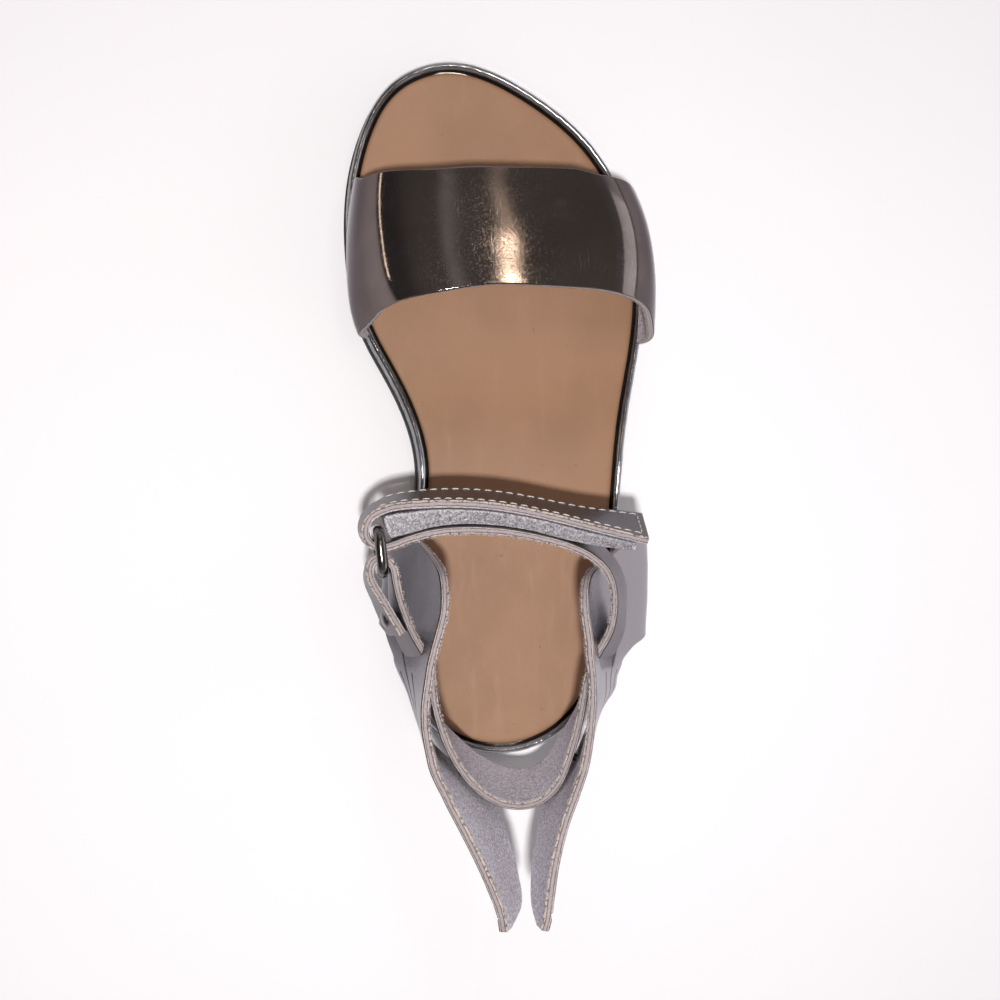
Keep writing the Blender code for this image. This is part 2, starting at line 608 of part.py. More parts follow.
# ring: a rounded rectangle of wire standing upright
ring_curve = bpy.data.curves.new("ring", "CURVE")
ring_curve.dimensions = "3D"
ring_curve.bevel_depth, ring_curve.bevel_resolution = RING_WIRE / 2 * MM, 2
loop = ring_curve.splines.new("POLY")
loop.points.add(RING_POINTS - 1)
loop.use_cyclic_u = True
front_bar, rear_bar = np.array(RING_FRONT_BAR), np.array(RING_REAR_BAR)
for i, point in enumerate(loop.points):
    turn = 2 * math.pi * i / RING_POINTS
    wide = math.copysign(abs(math.cos(turn)) ** RING_SQUARENESS, math.cos(turn))
    tall = math.copysign(abs(math.sin(turn)) ** RING_SQUARENESS, math.sin(turn))
    x, y = (front_bar + rear_bar) / 2 + (front_bar - rear_bar) / 2 * wide
    z = (RING_LOW_Z + RING_HIGH_Z) / 2 + (RING_HIGH_Z - RING_LOW_Z) / 2 * tall
    point.co = (x * MM, y * MM, z * MM, 1.0)
place_object("ring", ring_curve, metal)

# rivet through the two layers of the tab, square to the inner one
half_strap = ANKLE_THICKNESS / 2 + 1.4 * GAP
middle, normal = strip_normal(ankle_place, ankle_shares[TAB_RIVET_ROW], 0.5)
outer_layer = [np.array(ankle_place(share, 0.5)) for share in np.linspace(0.0, ankle_shares[3], 200)]
reach = min(((point - middle) @ normal for point in outer_layer),
            key=lambda along: min(np.linalg.norm(middle + normal * along - point) for point in outer_layer))
rivet_tab, hole = rivet("rivet_tab", middle - normal * half_strap,
                        middle + normal * (reach + half_strap + GAP), metal)
cut(ankle_strap, hole)

# rivets that hold the strap to the wings behind the heel
for side, row in HEEL_RIVET_ROWS:
    middle, normal = strip_normal(ankle_place, ankle_shares[row], HEEL_RIVET_ACROSS)
    reach = min(np.linspace(0.5, 6.0, 200),
                key=lambda along: abs(walls[side](*(middle + normal * along)[1:]) - (middle + normal * along)[0]))
    made, hole = rivet("rivet_heel_" + side, middle - normal * half_strap,
                       middle + normal * (reach + WING_THICKNESS / 2 + 2 * GAP), metal)
    cut(ankle_strap, hole)
    cut(wings[side], hole)

# rest the shoe on z = 0 with the middle of its box over the origin
bpy.context.view_layer.update()
sized = bpy.context.evaluated_depsgraph_get()
corners = []
for piece in collection.objects:
    shaped = piece.evaluated_get(sized).to_mesh()
    corners += [piece.matrix_world @ vert.co for vert in shaped.vertices]
low, high = np.min(corners, axis=0), np.max(corners, axis=0)
shoe.location = (-(low[0] + high[0]) / 2, -(low[1] + high[1]) / 2, -low[2])
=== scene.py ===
# Looks for the winged baby sandal. Table lengths are millimetres in the shoe's own layout:
# heel end at y 0, toe towards +y, little-toe side towards +x, floor at z 0.
import math

import bmesh
import bpy
import numpy as np
from mathutils import Matrix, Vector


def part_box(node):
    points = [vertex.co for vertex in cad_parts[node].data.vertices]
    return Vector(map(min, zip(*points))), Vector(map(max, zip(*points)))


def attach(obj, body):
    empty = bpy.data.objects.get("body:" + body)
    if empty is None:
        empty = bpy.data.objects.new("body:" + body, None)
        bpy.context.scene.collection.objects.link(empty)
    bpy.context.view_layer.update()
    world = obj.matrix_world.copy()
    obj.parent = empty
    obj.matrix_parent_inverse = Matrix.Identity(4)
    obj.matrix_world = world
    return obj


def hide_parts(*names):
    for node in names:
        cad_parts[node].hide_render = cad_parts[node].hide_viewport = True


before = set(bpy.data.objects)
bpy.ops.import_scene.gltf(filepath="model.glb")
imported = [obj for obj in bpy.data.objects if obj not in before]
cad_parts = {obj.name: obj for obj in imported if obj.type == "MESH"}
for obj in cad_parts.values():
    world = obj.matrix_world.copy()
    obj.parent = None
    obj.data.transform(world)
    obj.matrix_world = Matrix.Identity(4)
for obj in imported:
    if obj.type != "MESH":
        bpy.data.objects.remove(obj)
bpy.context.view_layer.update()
scene = bpy.context.scene
mm = 0.001
draw = np.random.default_rng(7)  # one seeded source for small irregularities
print("frame loaded,", len(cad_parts), "nodes")


class Wire:  # a shader socket; sums and products of wires add Math nodes
    def __init__(self, tree, socket=None):
        self.tree, self.socket = tree, socket

    def add(self, kind, settings=None, sockets=None, out=0):
        node = self.tree.nodes.new("ShaderNode" + kind)
        for key, value in (settings or {}).items():
            if key == "stops":  # ramp stops: place and colour
                ramp = node.color_ramp.elements
                while len(ramp) < len(value):
                    ramp.new(0.5)
                for stop, (place, colour) in zip(ramp, value):
                    stop.position, stop.color = place, (*colour, 1.0)
            else:
                setattr(node, key, value)
        for key, value in (sockets or {}).items():
            self.feed(node.inputs[key], value)
        return Wire(self.tree, node.outputs[out])

    def feed(self, socket, value):
        if isinstance(value, Wire):
            self.tree.links.new(value.socket, socket)
        else:  # a colour is given as red, green, blue
            socket.default_value = (*value, 1.0) if socket.type == "RGBA" else value

    def calc(self, operation, first, second=0.0):
        return self.add("Math", {"operation": operation}, {0: first, 1: second})

    def __add__(self, other):
        return self.calc("ADD", self, other)

    def __sub__(self, other):
        return self.calc("SUBTRACT", self, other)

    def __rsub__(self, other):
        return self.calc("SUBTRACT", other, self)

    def __mul__(self, other):
        return self.calc("MULTIPLY", self, other)

    def __abs__(self):
        return self.calc("ABSOLUTE", self)

    __radd__ = __add__
    __rmul__ = __mul__

    def between(self, low, high):  # 0 below low, 1 above high, eased between; low may be the larger
        return self.add("MapRange", {"interpolation_type": "SMOOTHSTEP"},
                        {"Value": self, "From Min": low, "From Max": high})

    def colour(self, first, second):  # this value picks between two colours
        return self.add("Mix", {"data_type": "RGBA"}, {0: self, 6: first, 7: second}, out=2)


    def noise(self, size, detail=3.0, rough=0.55, pull=None, turn=0.0):  # cloud noise with lumps of size mm
        where = self.where
        if pull:  # coordinates turned about z, then pulled out
            where = self.add("Mapping", None, {"Vector": where, "Rotation": (0.0, 0.0, turn), "Scale": pull})
        sockets = {"Vector": where, "Scale": 1.0 / (size * mm), "Detail": detail, "Roughness": rough}
        return self.add("TexNoise", None, sockets, out="Fac")

    def bump(self, height, strength, depth):  # relief of depth mm
        sockets = {"Strength": strength, "Distance": depth * mm, "Height": height}
        return self.add("Bump", None, sockets, out="Normal")

    def mark(self, name):  # a value that the mesh carries at each point
        return self.add("Attribute", {"attribute_name": name}, out="Fac")


def startFinish(name):
    material = bpy.data.materials.new(name)
    material.use_nodes = True
    wire = Wire(material.node_tree)
    wire.where = wire.add("TexCoord", out="Object")
    return material, wire


def endFinish(material, **sockets):
    shader = material.node_tree.nodes["Principled BSDF"]
    wire = Wire(material.node_tree)
    for key, value in sockets.items():
        words = "".join(" " + letter if letter.isupper() else letter for letter in key)
        wire.feed(shader.inputs[words.strip().title()], value)
    return material


scratchPull = (24.0, 1.0, 24.0)  # scratches are noise drawn out to lines


# Coated leather: metal film on smooth hide, with slow tone drift, fine grain, rubbed spots and scratches.
# The mark "groove" is 1 in cuts and slots, which are painted near black as the shade inside them, and
# "pale" is a painted reflection: it lifts the tone where lit floor would be mirrored in the leather.
def coatedLeather(name, look):
    material, wire = startFinish(name)
    drift = wire.noise(look["driftSize"], 4.0)
    grain = wire.noise(look["grainSize"], 5.0, 0.65)
    rubbed = wire.noise(look["rubSize"], 6.0, 0.7).between(0.56, 0.78)
    scratchA = wire.noise(3.5, 1.0, pull=scratchPull, turn=0.6).between(0.66, 0.72)
    scratchB = wire.noise(3.0, 1.0, pull=scratchPull, turn=-1.1).between(0.67, 0.73)
    scratch = (scratchA + scratchB) * wire.noise(9.0, 2.0).between(0.52, 0.63)
    tone = drift.between(0.3, 0.7).colour(look["deep"], look["light"])
    tone = (rubbed * look["rub"] + scratch * 0.5).colour(tone, look["worn"])
    groove, pale = wire.mark("groove"), wire.mark("pale")
    # painted reflection: the pale mark mixes in a lighter tone
    tone = pale.colour(tone, look["worn"])
    # painted shade: cuts and slots are mixed towards near black
    tone = (groove * 0.85).colour(tone, look["cut"])
    relief = grain + drift * look["wave"] - scratch * 0.08
    rough = look["rough"] + grain.between(0.48, 0.66) * look["speckle"] + rubbed * 0.06 + scratch * 0.1
    return endFinish(material, baseColor=tone, metallic=look["metal"], specularTint=look["glance"],
                     roughness=rough, normal=wire.bump(relief, look["relief"], 0.12))


gunmetalLook = dict(
    deep=(0.130, 0.110, 0.102), light=(0.168, 0.143, 0.134), worn=(0.42, 0.37, 0.34),
    cut=(0.03, 0.028, 0.028), glance=(0.46, 0.44, 0.48), metal=0.95, rough=0.05, driftSize=14.0,
    grainSize=0.34, rubSize=6.0, rub=0.22, wave=0.3, relief=0.055, speckle=0.13)
rimLook = dict(
    deep=(0.22, 0.225, 0.24), light=(0.34, 0.345, 0.36), worn=(0.7, 0.70, 0.71), cut=(0.03, 0.028, 0.028),
    glance=(0.75, 0.76, 0.78), metal=0.95, rough=0.08, driftSize=5.0, grainSize=0.6, rubSize=1.6, rub=0.4,
    wave=1.5, relief=0.3, speckle=0.06)
# Wing leather set darker than the ankle strap's: painted shade for the shaded outer face of the medial wing;
# the lateral wing is lifted again by the painted reflection mark
pewterLook = dict(
    deep=(0.084, 0.080, 0.084), light=(0.114, 0.109, 0.114), worn=(0.36, 0.343, 0.357),
    cut=(0.035, 0.032, 0.034), glance=(0.70, 0.68, 0.73), metal=0.92, rough=0.20, driftSize=11.0,
    grainSize=0.45, rubSize=7.0, rub=0.14, wave=0.8, relief=0.16, speckle=0.08)
strapLook = dict(pewterLook, deep=(0.118, 0.111, 0.112), light=(0.160, 0.151, 0.153), rough=0.32, rub=0.08)
gunmetalGrain = coatedLeather("gunmetal_grain", gunmetalLook)
rimGrain = coatedLeather("rim_grain", rimLook)
pewterGrain = coatedLeather("pewter_grain", pewterLook)
strapGrain = coatedLeather("strap_grain", strapLook)


# Flesh side: short raised nap, seen as grey and pale specks over a lavender-grey ground
def fleshSide(name, look):
    material, wire = startFinish(name)
    nap = wire.noise(look["napSize"], 6.0, 0.75)
    patch = wire.noise(look["patchSize"], 3.0)
    flecks = wire.noise(look["fleckSize"], 2.0).between(0.60, 0.70)
    pits = wire.noise(look["fleckSize"] * 1.3, 3.0).between(0.40, 0.30)
    tone = nap.between(0.41, 0.59).colour(look["deep"], look["light"])
    tone = (patch.between(0.35, 0.7) * 0.25).colour(tone, look["ground"])
    tone = (flecks * 0.8).colour(tone, look["fleck"])
    tone = (pits * 0.6).colour(tone, look["pit"])
    return endFinish(material, baseColor=tone, roughness=0.86 + nap * 0.12, sheenWeight=0.25,
                     normal=wire.bump(nap + flecks * 0.5 - pits * 0.4, 0.8, 0.3))


suedeLook = dict(
    deep=(0.29, 0.265, 0.31), light=(0.84, 0.79, 0.89), ground=(0.58, 0.54, 0.62), fleck=(0.97, 0.94, 0.98),
    pit=(0.07, 0.06, 0.07), napSize=0.44, patchSize=7.0, fleckSize=0.44)
suede = fleshSide("suede_flesh", suedeLook)


# Cut edge: the mark "through" runs from -1 at the flesh side to 1 at the grain; pale skins outside, a
# streaked core between two thin glue lines, dark specks where the flesh side frays
def cutEdge(name, look):
    material, wire = startFinish(name)
    wander = wire.mark("through") + (wire.noise(1.3, 4.0) - 0.5) * 0.45
    fibre = wire.noise(0.32, 5.0, 0.7)
    skins = abs(wander).between(0.52, 0.72)
    lines = abs(abs(wander) - look["lineAt"]).between(look["lineWidth"], look["lineWidth"] * 0.3)
    specks = wire.noise(look["speckSize"], 3.0).between(0.53, 0.60) * wander.between(-0.25, -0.70)
    breaks = wire.noise(look["breakSize"], 3.0).between(0.32, 0.50)
    tone = skins.colour(look["core"], look["pale"])
    tone = (fibre.between(0.40, 0.62) * 0.6).colour(tone, look["shade"])
    tone = (lines * breaks * 0.85).colour(tone, look["glue"])
    tone = (specks * 0.85).colour(tone, look["speck"])
    return endFinish(material, baseColor=tone, roughness=0.7 + fibre * 0.2,
                     normal=wire.bump(fibre - lines * 0.8 - specks, 0.6, 0.2))


edgeLook = dict(
    core=(0.41, 0.35, 0.365), pale=(0.63, 0.53, 0.43), shade=(0.27, 0.23, 0.235), glue=(0.07, 0.06, 0.065),
    speck=(0.08, 0.07, 0.08), lineAt=0.44, lineWidth=0.13, speckSize=0.5, breakSize=0.9)
strapEdgeLook = dict(edgeLook, core=(0.44, 0.40, 0.41), pale=(0.52, 0.475, 0.475), shade=(0.34, 0.30, 0.31),
                     glue=(0.24, 0.21, 0.21))
paleEdge = cutEdge("cut_edge_cream", edgeLook)
strapEdge = cutEdge("cut_edge_grey", strapEdgeLook)


# Tan insole: smooth lining hide with soft tone patches, fine pores, small stains and faint rub marks
def insoleLeather(name, look):
    material, wire = startFinish(name)
    patch = wire.noise(look["patchSize"], 4.0)
    pores = wire.noise(look["poreSize"], 4.0, 0.6)
    stain = wire.noise(look["stainSize"], 2.0).between(0.735, 0.77)
    rub = wire.noise(14.0, 3.0, pull=(6.0, 1.0, 6.0), turn=0.2).between(0.55, 0.8)
    tone = patch.between(0.3, 0.7).colour(look["deep"], look["light"])
    tone = (rub * 0.25).colour(tone, look["rubbed"])
    tone = (pores.between(0.55, 0.8) * 0.18).colour(tone, look["stain"])
    tone = (stain * 0.5).colour(tone, look["stain"])
    return endFinish(material, baseColor=tone, roughness=0.50 + pores * 0.16 - rub * 0.08,
                     normal=wire.bump(pores + patch * 0.4, 0.18, 0.1))


tanLook = dict(deep=(0.276, 0.143, 0.075), light=(0.325, 0.171, 0.091), rubbed=(0.355, 0.194, 0.110),
               stain=(0.16, 0.076, 0.043), patchSize=22.0, poreSize=0.4, stainSize=1.6)
tanHide = insoleLeather("tan_hide", tanLook)


# Moulded rubber: near black, dusty in the low spots, with a fine moulded stipple
def mouldedRubber(name, look):
    material, wire = startFinish(name)
    stipple = wire.noise(look["stippleSize"], 3.0)
    dust = wire.noise(look["dustSize"], 5.0, 0.65).between(0.45, 0.75)
    tone = (dust * 0.5).colour(look["body"], look["dust"])
    return endFinish(material, baseColor=tone, roughness=0.58 + stipple * 0.2 + dust * 0.12,
                     normal=wire.bump(stipple, 0.35, 0.12))


rubberLook = dict(body=(0.018, 0.017, 0.018), dust=(0.075, 0.07, 0.068), stippleSize=0.35, dustSize=8.0)
blackRubber = mouldedRubber("black_rubber_moulded", rubberLook)


# Dark plated metal: black nickel with thin wear to brighter metal and a little haze
def platedMetal(name, look):
    material, wire = startFinish(name)
    haze = wire.noise(look["hazeSize"], 4.0)
    wear = wire.noise(look["wearSize"], 5.0, 0.7).between(0.60, 0.75)
    tone = (wear * 0.6).colour(look["plate"], look["bare"])
    return endFinish(material, baseColor=tone, metallic=1.0, roughness=look["rough"] + haze * 0.12,
                     normal=wire.bump(haze, 0.12, 0.05))


nickelLook = dict(plate=(0.13, 0.125, 0.12), bare=(0.42, 0.38, 0.35), rough=0.12, hazeSize=1.5, wearSize=2.2)
darkNickel = platedMetal("dark_nickel", nickelLook)


# Woven fastener: silver-grey loops and hooks; bright specks are painted highlights and dark specks painted
# shade between loops
def fastenerWeave(name, look):
    material, wire = startFinish(name)
    tuft = wire.noise(look["tuftSize"], 4.0, 0.7)
    sparkle = wire.noise(look["sparkleSize"], 2.0).between(0.60, 0.66)
    dark = wire.noise(look["sparkleSize"] * 1.4, 2.0).between(0.42, 0.34)
    tone = tuft.between(0.38, 0.62).colour(look["deep"], look["light"])
    # painted shade specks, then painted highlight specks
    tone = (dark * 0.7).colour(tone, look["shadow"])
    tone = (sparkle * 0.9).colour(tone, look["sparkle"])
    return endFinish(material, baseColor=tone, metallic=0.15, roughness=0.62 - sparkle * 0.3,
                     normal=wire.bump(tuft + sparkle * 0.6, 0.8, 0.25))


weaveLook = dict(deep=(0.27, 0.255, 0.28), light=(0.66, 0.63, 0.68), shadow=(0.09, 0.085, 0.09),
                 sparkle=(0.98, 0.96, 0.98), tuftSize=0.4, sparkleSize=0.36)
silverWeave = fastenerWeave("silver_weave", weaveLook)


# Sewing thread: off-white, twisted, with fine fibre noise
def sewingThread(name, look):
    material, wire = startFinish(name)
    twist = wire.noise(look["twistSize"], 2.0, pull=(1.0, 3.0, 3.0), turn=0.6)
    tone = twist.between(0.3, 0.7).colour(look["deep"], look["light"])
    return endFinish(material, baseColor=tone, roughness=0.6 + twist * 0.2,
                     normal=wire.bump(twist, 0.5, 0.08))


threadLook = dict(deep=(0.46, 0.43, 0.40), light=(0.74, 0.71, 0.68), twistSize=0.25)
creamThread = sewingThread("cream_thread", threadLook)
print("finishes ready:", len(bpy.data.materials))


def unit(vectors):  # each vector over its length
    return vectors / np.maximum(np.linalg.norm(vectors, axis=-1, keepdims=True), 1e-12)


def ease(low, high, value):  # 0 below low, 1 above high, 3t^2 - 2t^3 between
    t = np.clip((value - low) / (high - low), 0.0, 1.0)
    return t * t * (3 - 2 * t)


# Cubic through table rows: the bends at the rows solve the three-term equations that keep slope and bend
# unbroken; the parameter is the share of plan distance, 0 to 1. Also gives the share at each row.
def cubicThrough(rows, closed=False):
    knots = np.array(rows, float)
    if closed:
        knots = np.vstack([knots, knots[:1]])
    steps = np.linalg.norm(np.diff(knots[:, :2], axis=0), axis=1)
    place = np.concatenate([[0.0], np.cumsum(steps)])
    slopes = np.diff(knots, axis=0) / steps[:, None]
    last = len(steps)
    inner = np.arange(1, last)
    system, right = np.eye(last + 1), np.zeros_like(knots)
    system[inner, inner - 1], system[inner, inner + 1] = steps[:-1], steps[1:]
    system[inner, inner] = 2 * (steps[:-1] + steps[1:])
    right[inner] = 6 * np.diff(slopes, axis=0)
    if closed:
        system[0, last] = -1.0
        system[last, [0, 1, last - 1, last]] = 2 * steps[0], steps[0], steps[-1], 2 * steps[-1]
        right[last] = 6 * (slopes[0] - slopes[-1])
    bend = np.linalg.solve(system, right)

    def at(share):
        where = np.clip(share, 0.0, 1.0) * place[-1]
        i = np.clip(np.searchsorted(place, where, side="right") - 1, 0, last - 1)
        step = steps[i][..., None]
        b = (where - place[i])[..., None] / step
        a = 1.0 - b
        curl = (a ** 3 - a) * bend[i] + (b ** 3 - b) * bend[i + 1]
        return a * knots[i] + b * knots[i + 1] + curl * step ** 2 / 6

    return at, place / place[-1]


# Curve through table rows that never overshoots: slope at a row is the harmonic mean of its neighbours'
def steadyThrough(rows):
    knots = np.array(sorted(rows), float)
    place, values = knots[:, 0], knots[:, 1:]
    steps = np.diff(place)
    slopes = np.diff(values, axis=0) / steps[:, None]
    same = slopes[:-1] * slopes[1:] > 0
    middle = 2 * slopes[:-1] * slopes[1:] / np.where(same, slopes[:-1] + slopes[1:], 1.0)
    lean = np.vstack([slopes[:1], np.where(same, middle, 0.0), slopes[-1:]])

    def at(where):
        i = np.clip(np.searchsorted(place, where, side="right") - 1, 0, len(steps) - 1)
        step = steps[i][..., None]
        t = np.clip((where - place[i])[..., None] / step, 0.0, 1.0)
        rise = t * t * (3 - 2 * t)
        return (values[i] * (1 - rise) + values[i + 1] * rise
                + step * (lean[i] * t * (1 - t) ** 2 - lean[i + 1] * t * t * (1 - t)))

    return at


def lengthAlong(line):  # distance from the first point to each point of a line
    return np.concatenate([[0.0], np.cumsum(np.linalg.norm(np.diff(line, axis=0), axis=1))])


def shareGrid(columns, rows):  # shares from 0 to 1 along and across a grid
    return np.meshgrid(np.linspace(0.0, 1.0, columns), np.linspace(0.0, 1.0, rows), indexing="ij")


def gridNormals(points):  # cross product of the two grid directions
    return unit(np.cross(np.gradient(points, axis=0), np.gradient(points, axis=1)))


def gridQuads(columns, rows, first=0):  # corner indices of every cell of a grid
    index = first + np.arange(columns * rows).reshape(columns, rows)
    return np.stack([index[:-1, :-1], index[1:, :-1], index[1:, 1:], index[:-1, 1:]], -1).reshape(-1, 4)


def joined(grids):  # several grids as one list of points and quads
    points, quads, first = [], [], 0
    for grid in grids:
        points.append(grid.reshape(-1, 3))
        quads.append(gridQuads(*grid.shape[:2], first))
        first += len(points[-1])
    return np.concatenate(points), np.concatenate(quads)


sole = dict(
    length=138.0, heelX=-1.5, toeX=-13.1, arch=(40.0, 80.0, 1.2), spring=(106.0, 3.2),
    cadPointsPerSide=34, seatInset=1.25, seatZ=6.0,
    sections=(  # y, medial edge x, lateral edge x
        (4.0, -14.6, 9.8), (12.0, -20.7, 16.6), (24.0, -23.1, 20.1), (40.0, -22.2, 21.5),
        (56.0, -19.3, 22.4), (66.0, -21.1, 23.4), (76.0, -25.7, 25.2), (86.0, -30.8, 26.7),
        (98.0, -33.2, 26.8), (112.0, -33.4, 23.2), (124.0, -30.7, 15.2), (133.0, -25.3, 3.0),
    ),
)
lateralEdge = [(row[2], row[0]) for row in sole["sections"]]
medialEdge = [(row[1], row[0]) for row in reversed(sole["sections"])]
outline, outlineShares = cubicThrough(
    [(sole["heelX"], 0.0), *lateralEdge, (sole["toeX"], sole["length"]), *medialEdge], closed=True)
toeShare = outlineShares[len(sole["sections"]) + 1]


# Outline moved in: each point goes by the inset along the left-hand normal of the outline
def outlinePoints(shares, inset):
    along = unit(outline((shares + 1e-4) % 1.0) - outline((shares - 1e-4) % 1.0))
    inward = np.stack([-along[..., 1], along[..., 0]], -1)
    return outline(shares % 1.0) + np.asarray(inset)[..., None] * inward


# Lift of the sole at y: a sine-squared arch under the waist and a parabola of toe spring
def soleRise(y):
    start, end, arch = sole["arch"]
    springStart, spring = sole["spring"]
    waist = np.clip((y - start) / (end - start), 0.0, 1.0)
    toe = np.clip((y - springStart) / (sole["length"] - springStart), 0.0, 1.0)
    return arch * np.sin(math.pi * waist) ** 2 + spring * toe ** 2


def seatX(side, y, inset=sole["seatInset"]):  # x of the sole's edge, moved in, at y
    span = (0.0, toeShare) if side == "lateral" else (1.0, toeShare)
    points = outlinePoints(np.linspace(*span, 800)[10:-10], inset)
    return np.interp(y, points[:, 1], points[:, 0])


cadSides = np.linspace(0.0, 1.0, sole["cadPointsPerSide"] + 1)[:-1]
cadLoop = outlinePoints(np.concatenate([cadSides * toeShare, toeShare + cadSides * (1 - toeShare)]), 0.0)
outsoleLow = np.array(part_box("outsole")[0]) / mm
rowShift = np.array([outsoleLow[0] - cadLoop[:, 0].min(), outsoleLow[1] - cadLoop[:, 1].min(), 0.0])
print("shoe layout to row frame, mm:", np.round(rowShift, 3))


def added(name, data):  # a new object of this data, in the scene
    made = bpy.data.objects.new(name, data)
    scene.collection.objects.link(made)
    return made


def addPiece(name, points, quads, finishes, slot, stands=(), marks=None, faceSlots=None):
    mesh = bpy.data.meshes.new(name)
    mesh.from_pydata((points + rowShift) * mm, [], quads.tolist())
    for key, values in (marks or {}).items():
        layer = mesh.attributes.new(key, "FLOAT", "POINT")
        layer.data.foreach_set("value", values.astype(np.float32).ravel())
    if faceSlots is not None:
        mesh.polygons.foreach_set("material_index", faceSlots.astype(np.int32))
    work = bmesh.new()
    work.from_mesh(mesh)
    bmesh.ops.remove_doubles(work, verts=work.verts, dist=2e-7)
    bmesh.ops.recalc_face_normals(work, faces=work.faces)
    work.to_mesh(mesh)
    work.free()
    for finish in finishes:
        mesh.materials.append(finish)
    mesh.shade_smooth()
    piece = added(name, mesh)
    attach(piece, "root")
    if stands:
        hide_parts(*stands)
    print("piece", name, len(mesh.polygons), "faces")


# Slab of the sole: a profile of (inset, height) carried round the outline, closed by grids from side to side.
# topLift and bottomLift move the two faces; they get the points and each one's distance to the nearer side.
def soleSlab(profile, stations, across, topLift=None, bottomLift=None, wander=0.0):
    inset, height = np.array(profile).T
    side = np.linspace(0.0, 1.0, stations + 1)
    wave = wander * wanderAlong(side)
    runs = []
    for shares in (side * toeShare, 1.0 - side * (1 - toeShare)):
        edge = np.stack([outlinePoints(shares, np.full_like(shares, i) + wave) for i in inset])
        lift = height[:, None] + soleRise(edge[..., 1])
        runs.append(np.concatenate([edge, lift[..., None]], -1))
    t = np.linspace(0.0, 1.0, across + 1)[:, None, None]
    caps = []
    for row, lift in ((-1, topLift), (0, bottomLift)):
        cap = (1 - t) * runs[0][row] + t * runs[1][row]
        if lift:
            width = np.linalg.norm(runs[0][row] - runs[1][row], axis=-1)
            cap[..., 2] += lift(cap, np.minimum(t, 1 - t)[..., 0] * width)
        caps.append(cap)
    return joined([*runs, *caps])


def wanderAlong(share):  # sum of sines with drawn phases: lumps along a wrapped rim
    turns = np.array([23.0, 41.0, 67.0, 113.0])
    phase = draw.uniform(0.0, 2 * math.pi, 4)
    ends = ease(0.0, 0.04, share) * ease(1.0, 0.96, share)
    return ends * np.sin(2 * math.pi * share[:, None] * turns + phase).mean(1)


def rounded(profile, count):  # the same profile as a smooth cubic with more points
    return cubicThrough(profile)[0](np.linspace(0.0, 1.0, count))


outsole = dict(stations=300, across=64, ribPitch=4.2, ribDepth=0.6, ribMargin=3.2, ribCut=(0.62, 0.82),
               ribbed=((9.0, 38.0), (78.0, 126.0)),
               profile=((1.0, 0.0), (0.55, 0.1), (0.18, 0.4), (0.0, 0.8), (0.0, 1.75), (0.14, 1.85),
                        (0.14, 2.05), (0.0, 2.15), (0.0, 3.35), (0.1, 3.65), (0.4, 3.8)))


# Tread: cross grooves, a cosine of y sharpened to narrow cuts, faded out towards the edges and the waist
def treadLift(points, edge):
    y = points[..., 1]
    wave = np.cos(2 * math.pi * (y + 0.06 * points[..., 0]) / outsole["ribPitch"])
    groove = ease(*outsole["ribCut"], wave)
    zones = sum(ease(a - 0.6, a + 0.6, y) * ease(b + 0.6, b - 0.6, y) for a, b in outsole["ribbed"])
    margin = outsole["ribMargin"]
    return outsole["ribDepth"] * groove * zones * ease(margin - 0.4, margin + 0.4, edge)


addPiece("outsole_rubber", *soleSlab(outsole["profile"], outsole["stations"], outsole["across"],
                                     bottomLift=treadLift), [blackRubber], "sole_rubber", ["outsole"])

rim = dict(stations=320, across=6, points=30, wander=0.05,
           profile=((0.9, 4.05), (0.5, 4.5), (0.45, 6.0), (0.45, 7.4), (0.6, 8.05), (0.95, 8.4), (1.35, 8.4),
                    (1.75, 8.05), (1.92, 7.5), (1.95, 6.6)))
addPiece("footbed_rim", *soleSlab(rounded(rim["profile"], rim["points"]), rim["stations"], rim["across"],
                                  wander=rim["wander"]), [rimGrain], "gunmetal_leather", ["footbed"])

insole = dict(stations=300, across=90, edgeRise=5.0,
              hollows=((-2.0, 20.0, 13.0, 0.22), (-4.0, 96.0, 19.0, 0.2)),  # x, y, size, depth
              profile=((2.55, 6.9), (2.42, 7.25), (2.5, 7.5), (2.75, 7.68), (3.1, 7.74), (3.5, 7.75)))


# Foot print: hollows under heel and ball, depth times exp of minus the squared distance, none at the edge
def footPrint(points, edge):
    spread = [depth * np.exp(-((points[..., 0] - x) ** 2 + (points[..., 1] - y) ** 2) / size ** 2)
              for x, y, size, depth in insole["hollows"]]
    return -sum(spread) * ease(0.0, insole["edgeRise"], edge)


addPiece("insole_leather", *soleSlab(insole["profile"], insole["stations"], insole["across"],
                                     topLift=footPrint), [tanHide], "tan_leather", ["insole"])
print("sole done")


def drawnIn(points, amount):  # border points moved in along the grid lines
    moved = points.copy()
    moved[0] += amount * unit(points[1] - points[0])
    moved[-1] += amount * unit(points[-2] - points[-1])
    moved[:, 0] += amount * unit(points[:, 1] - points[:, 0])
    moved[:, -1] += amount * unit(points[:, -2] - points[:, -1])
    return moved


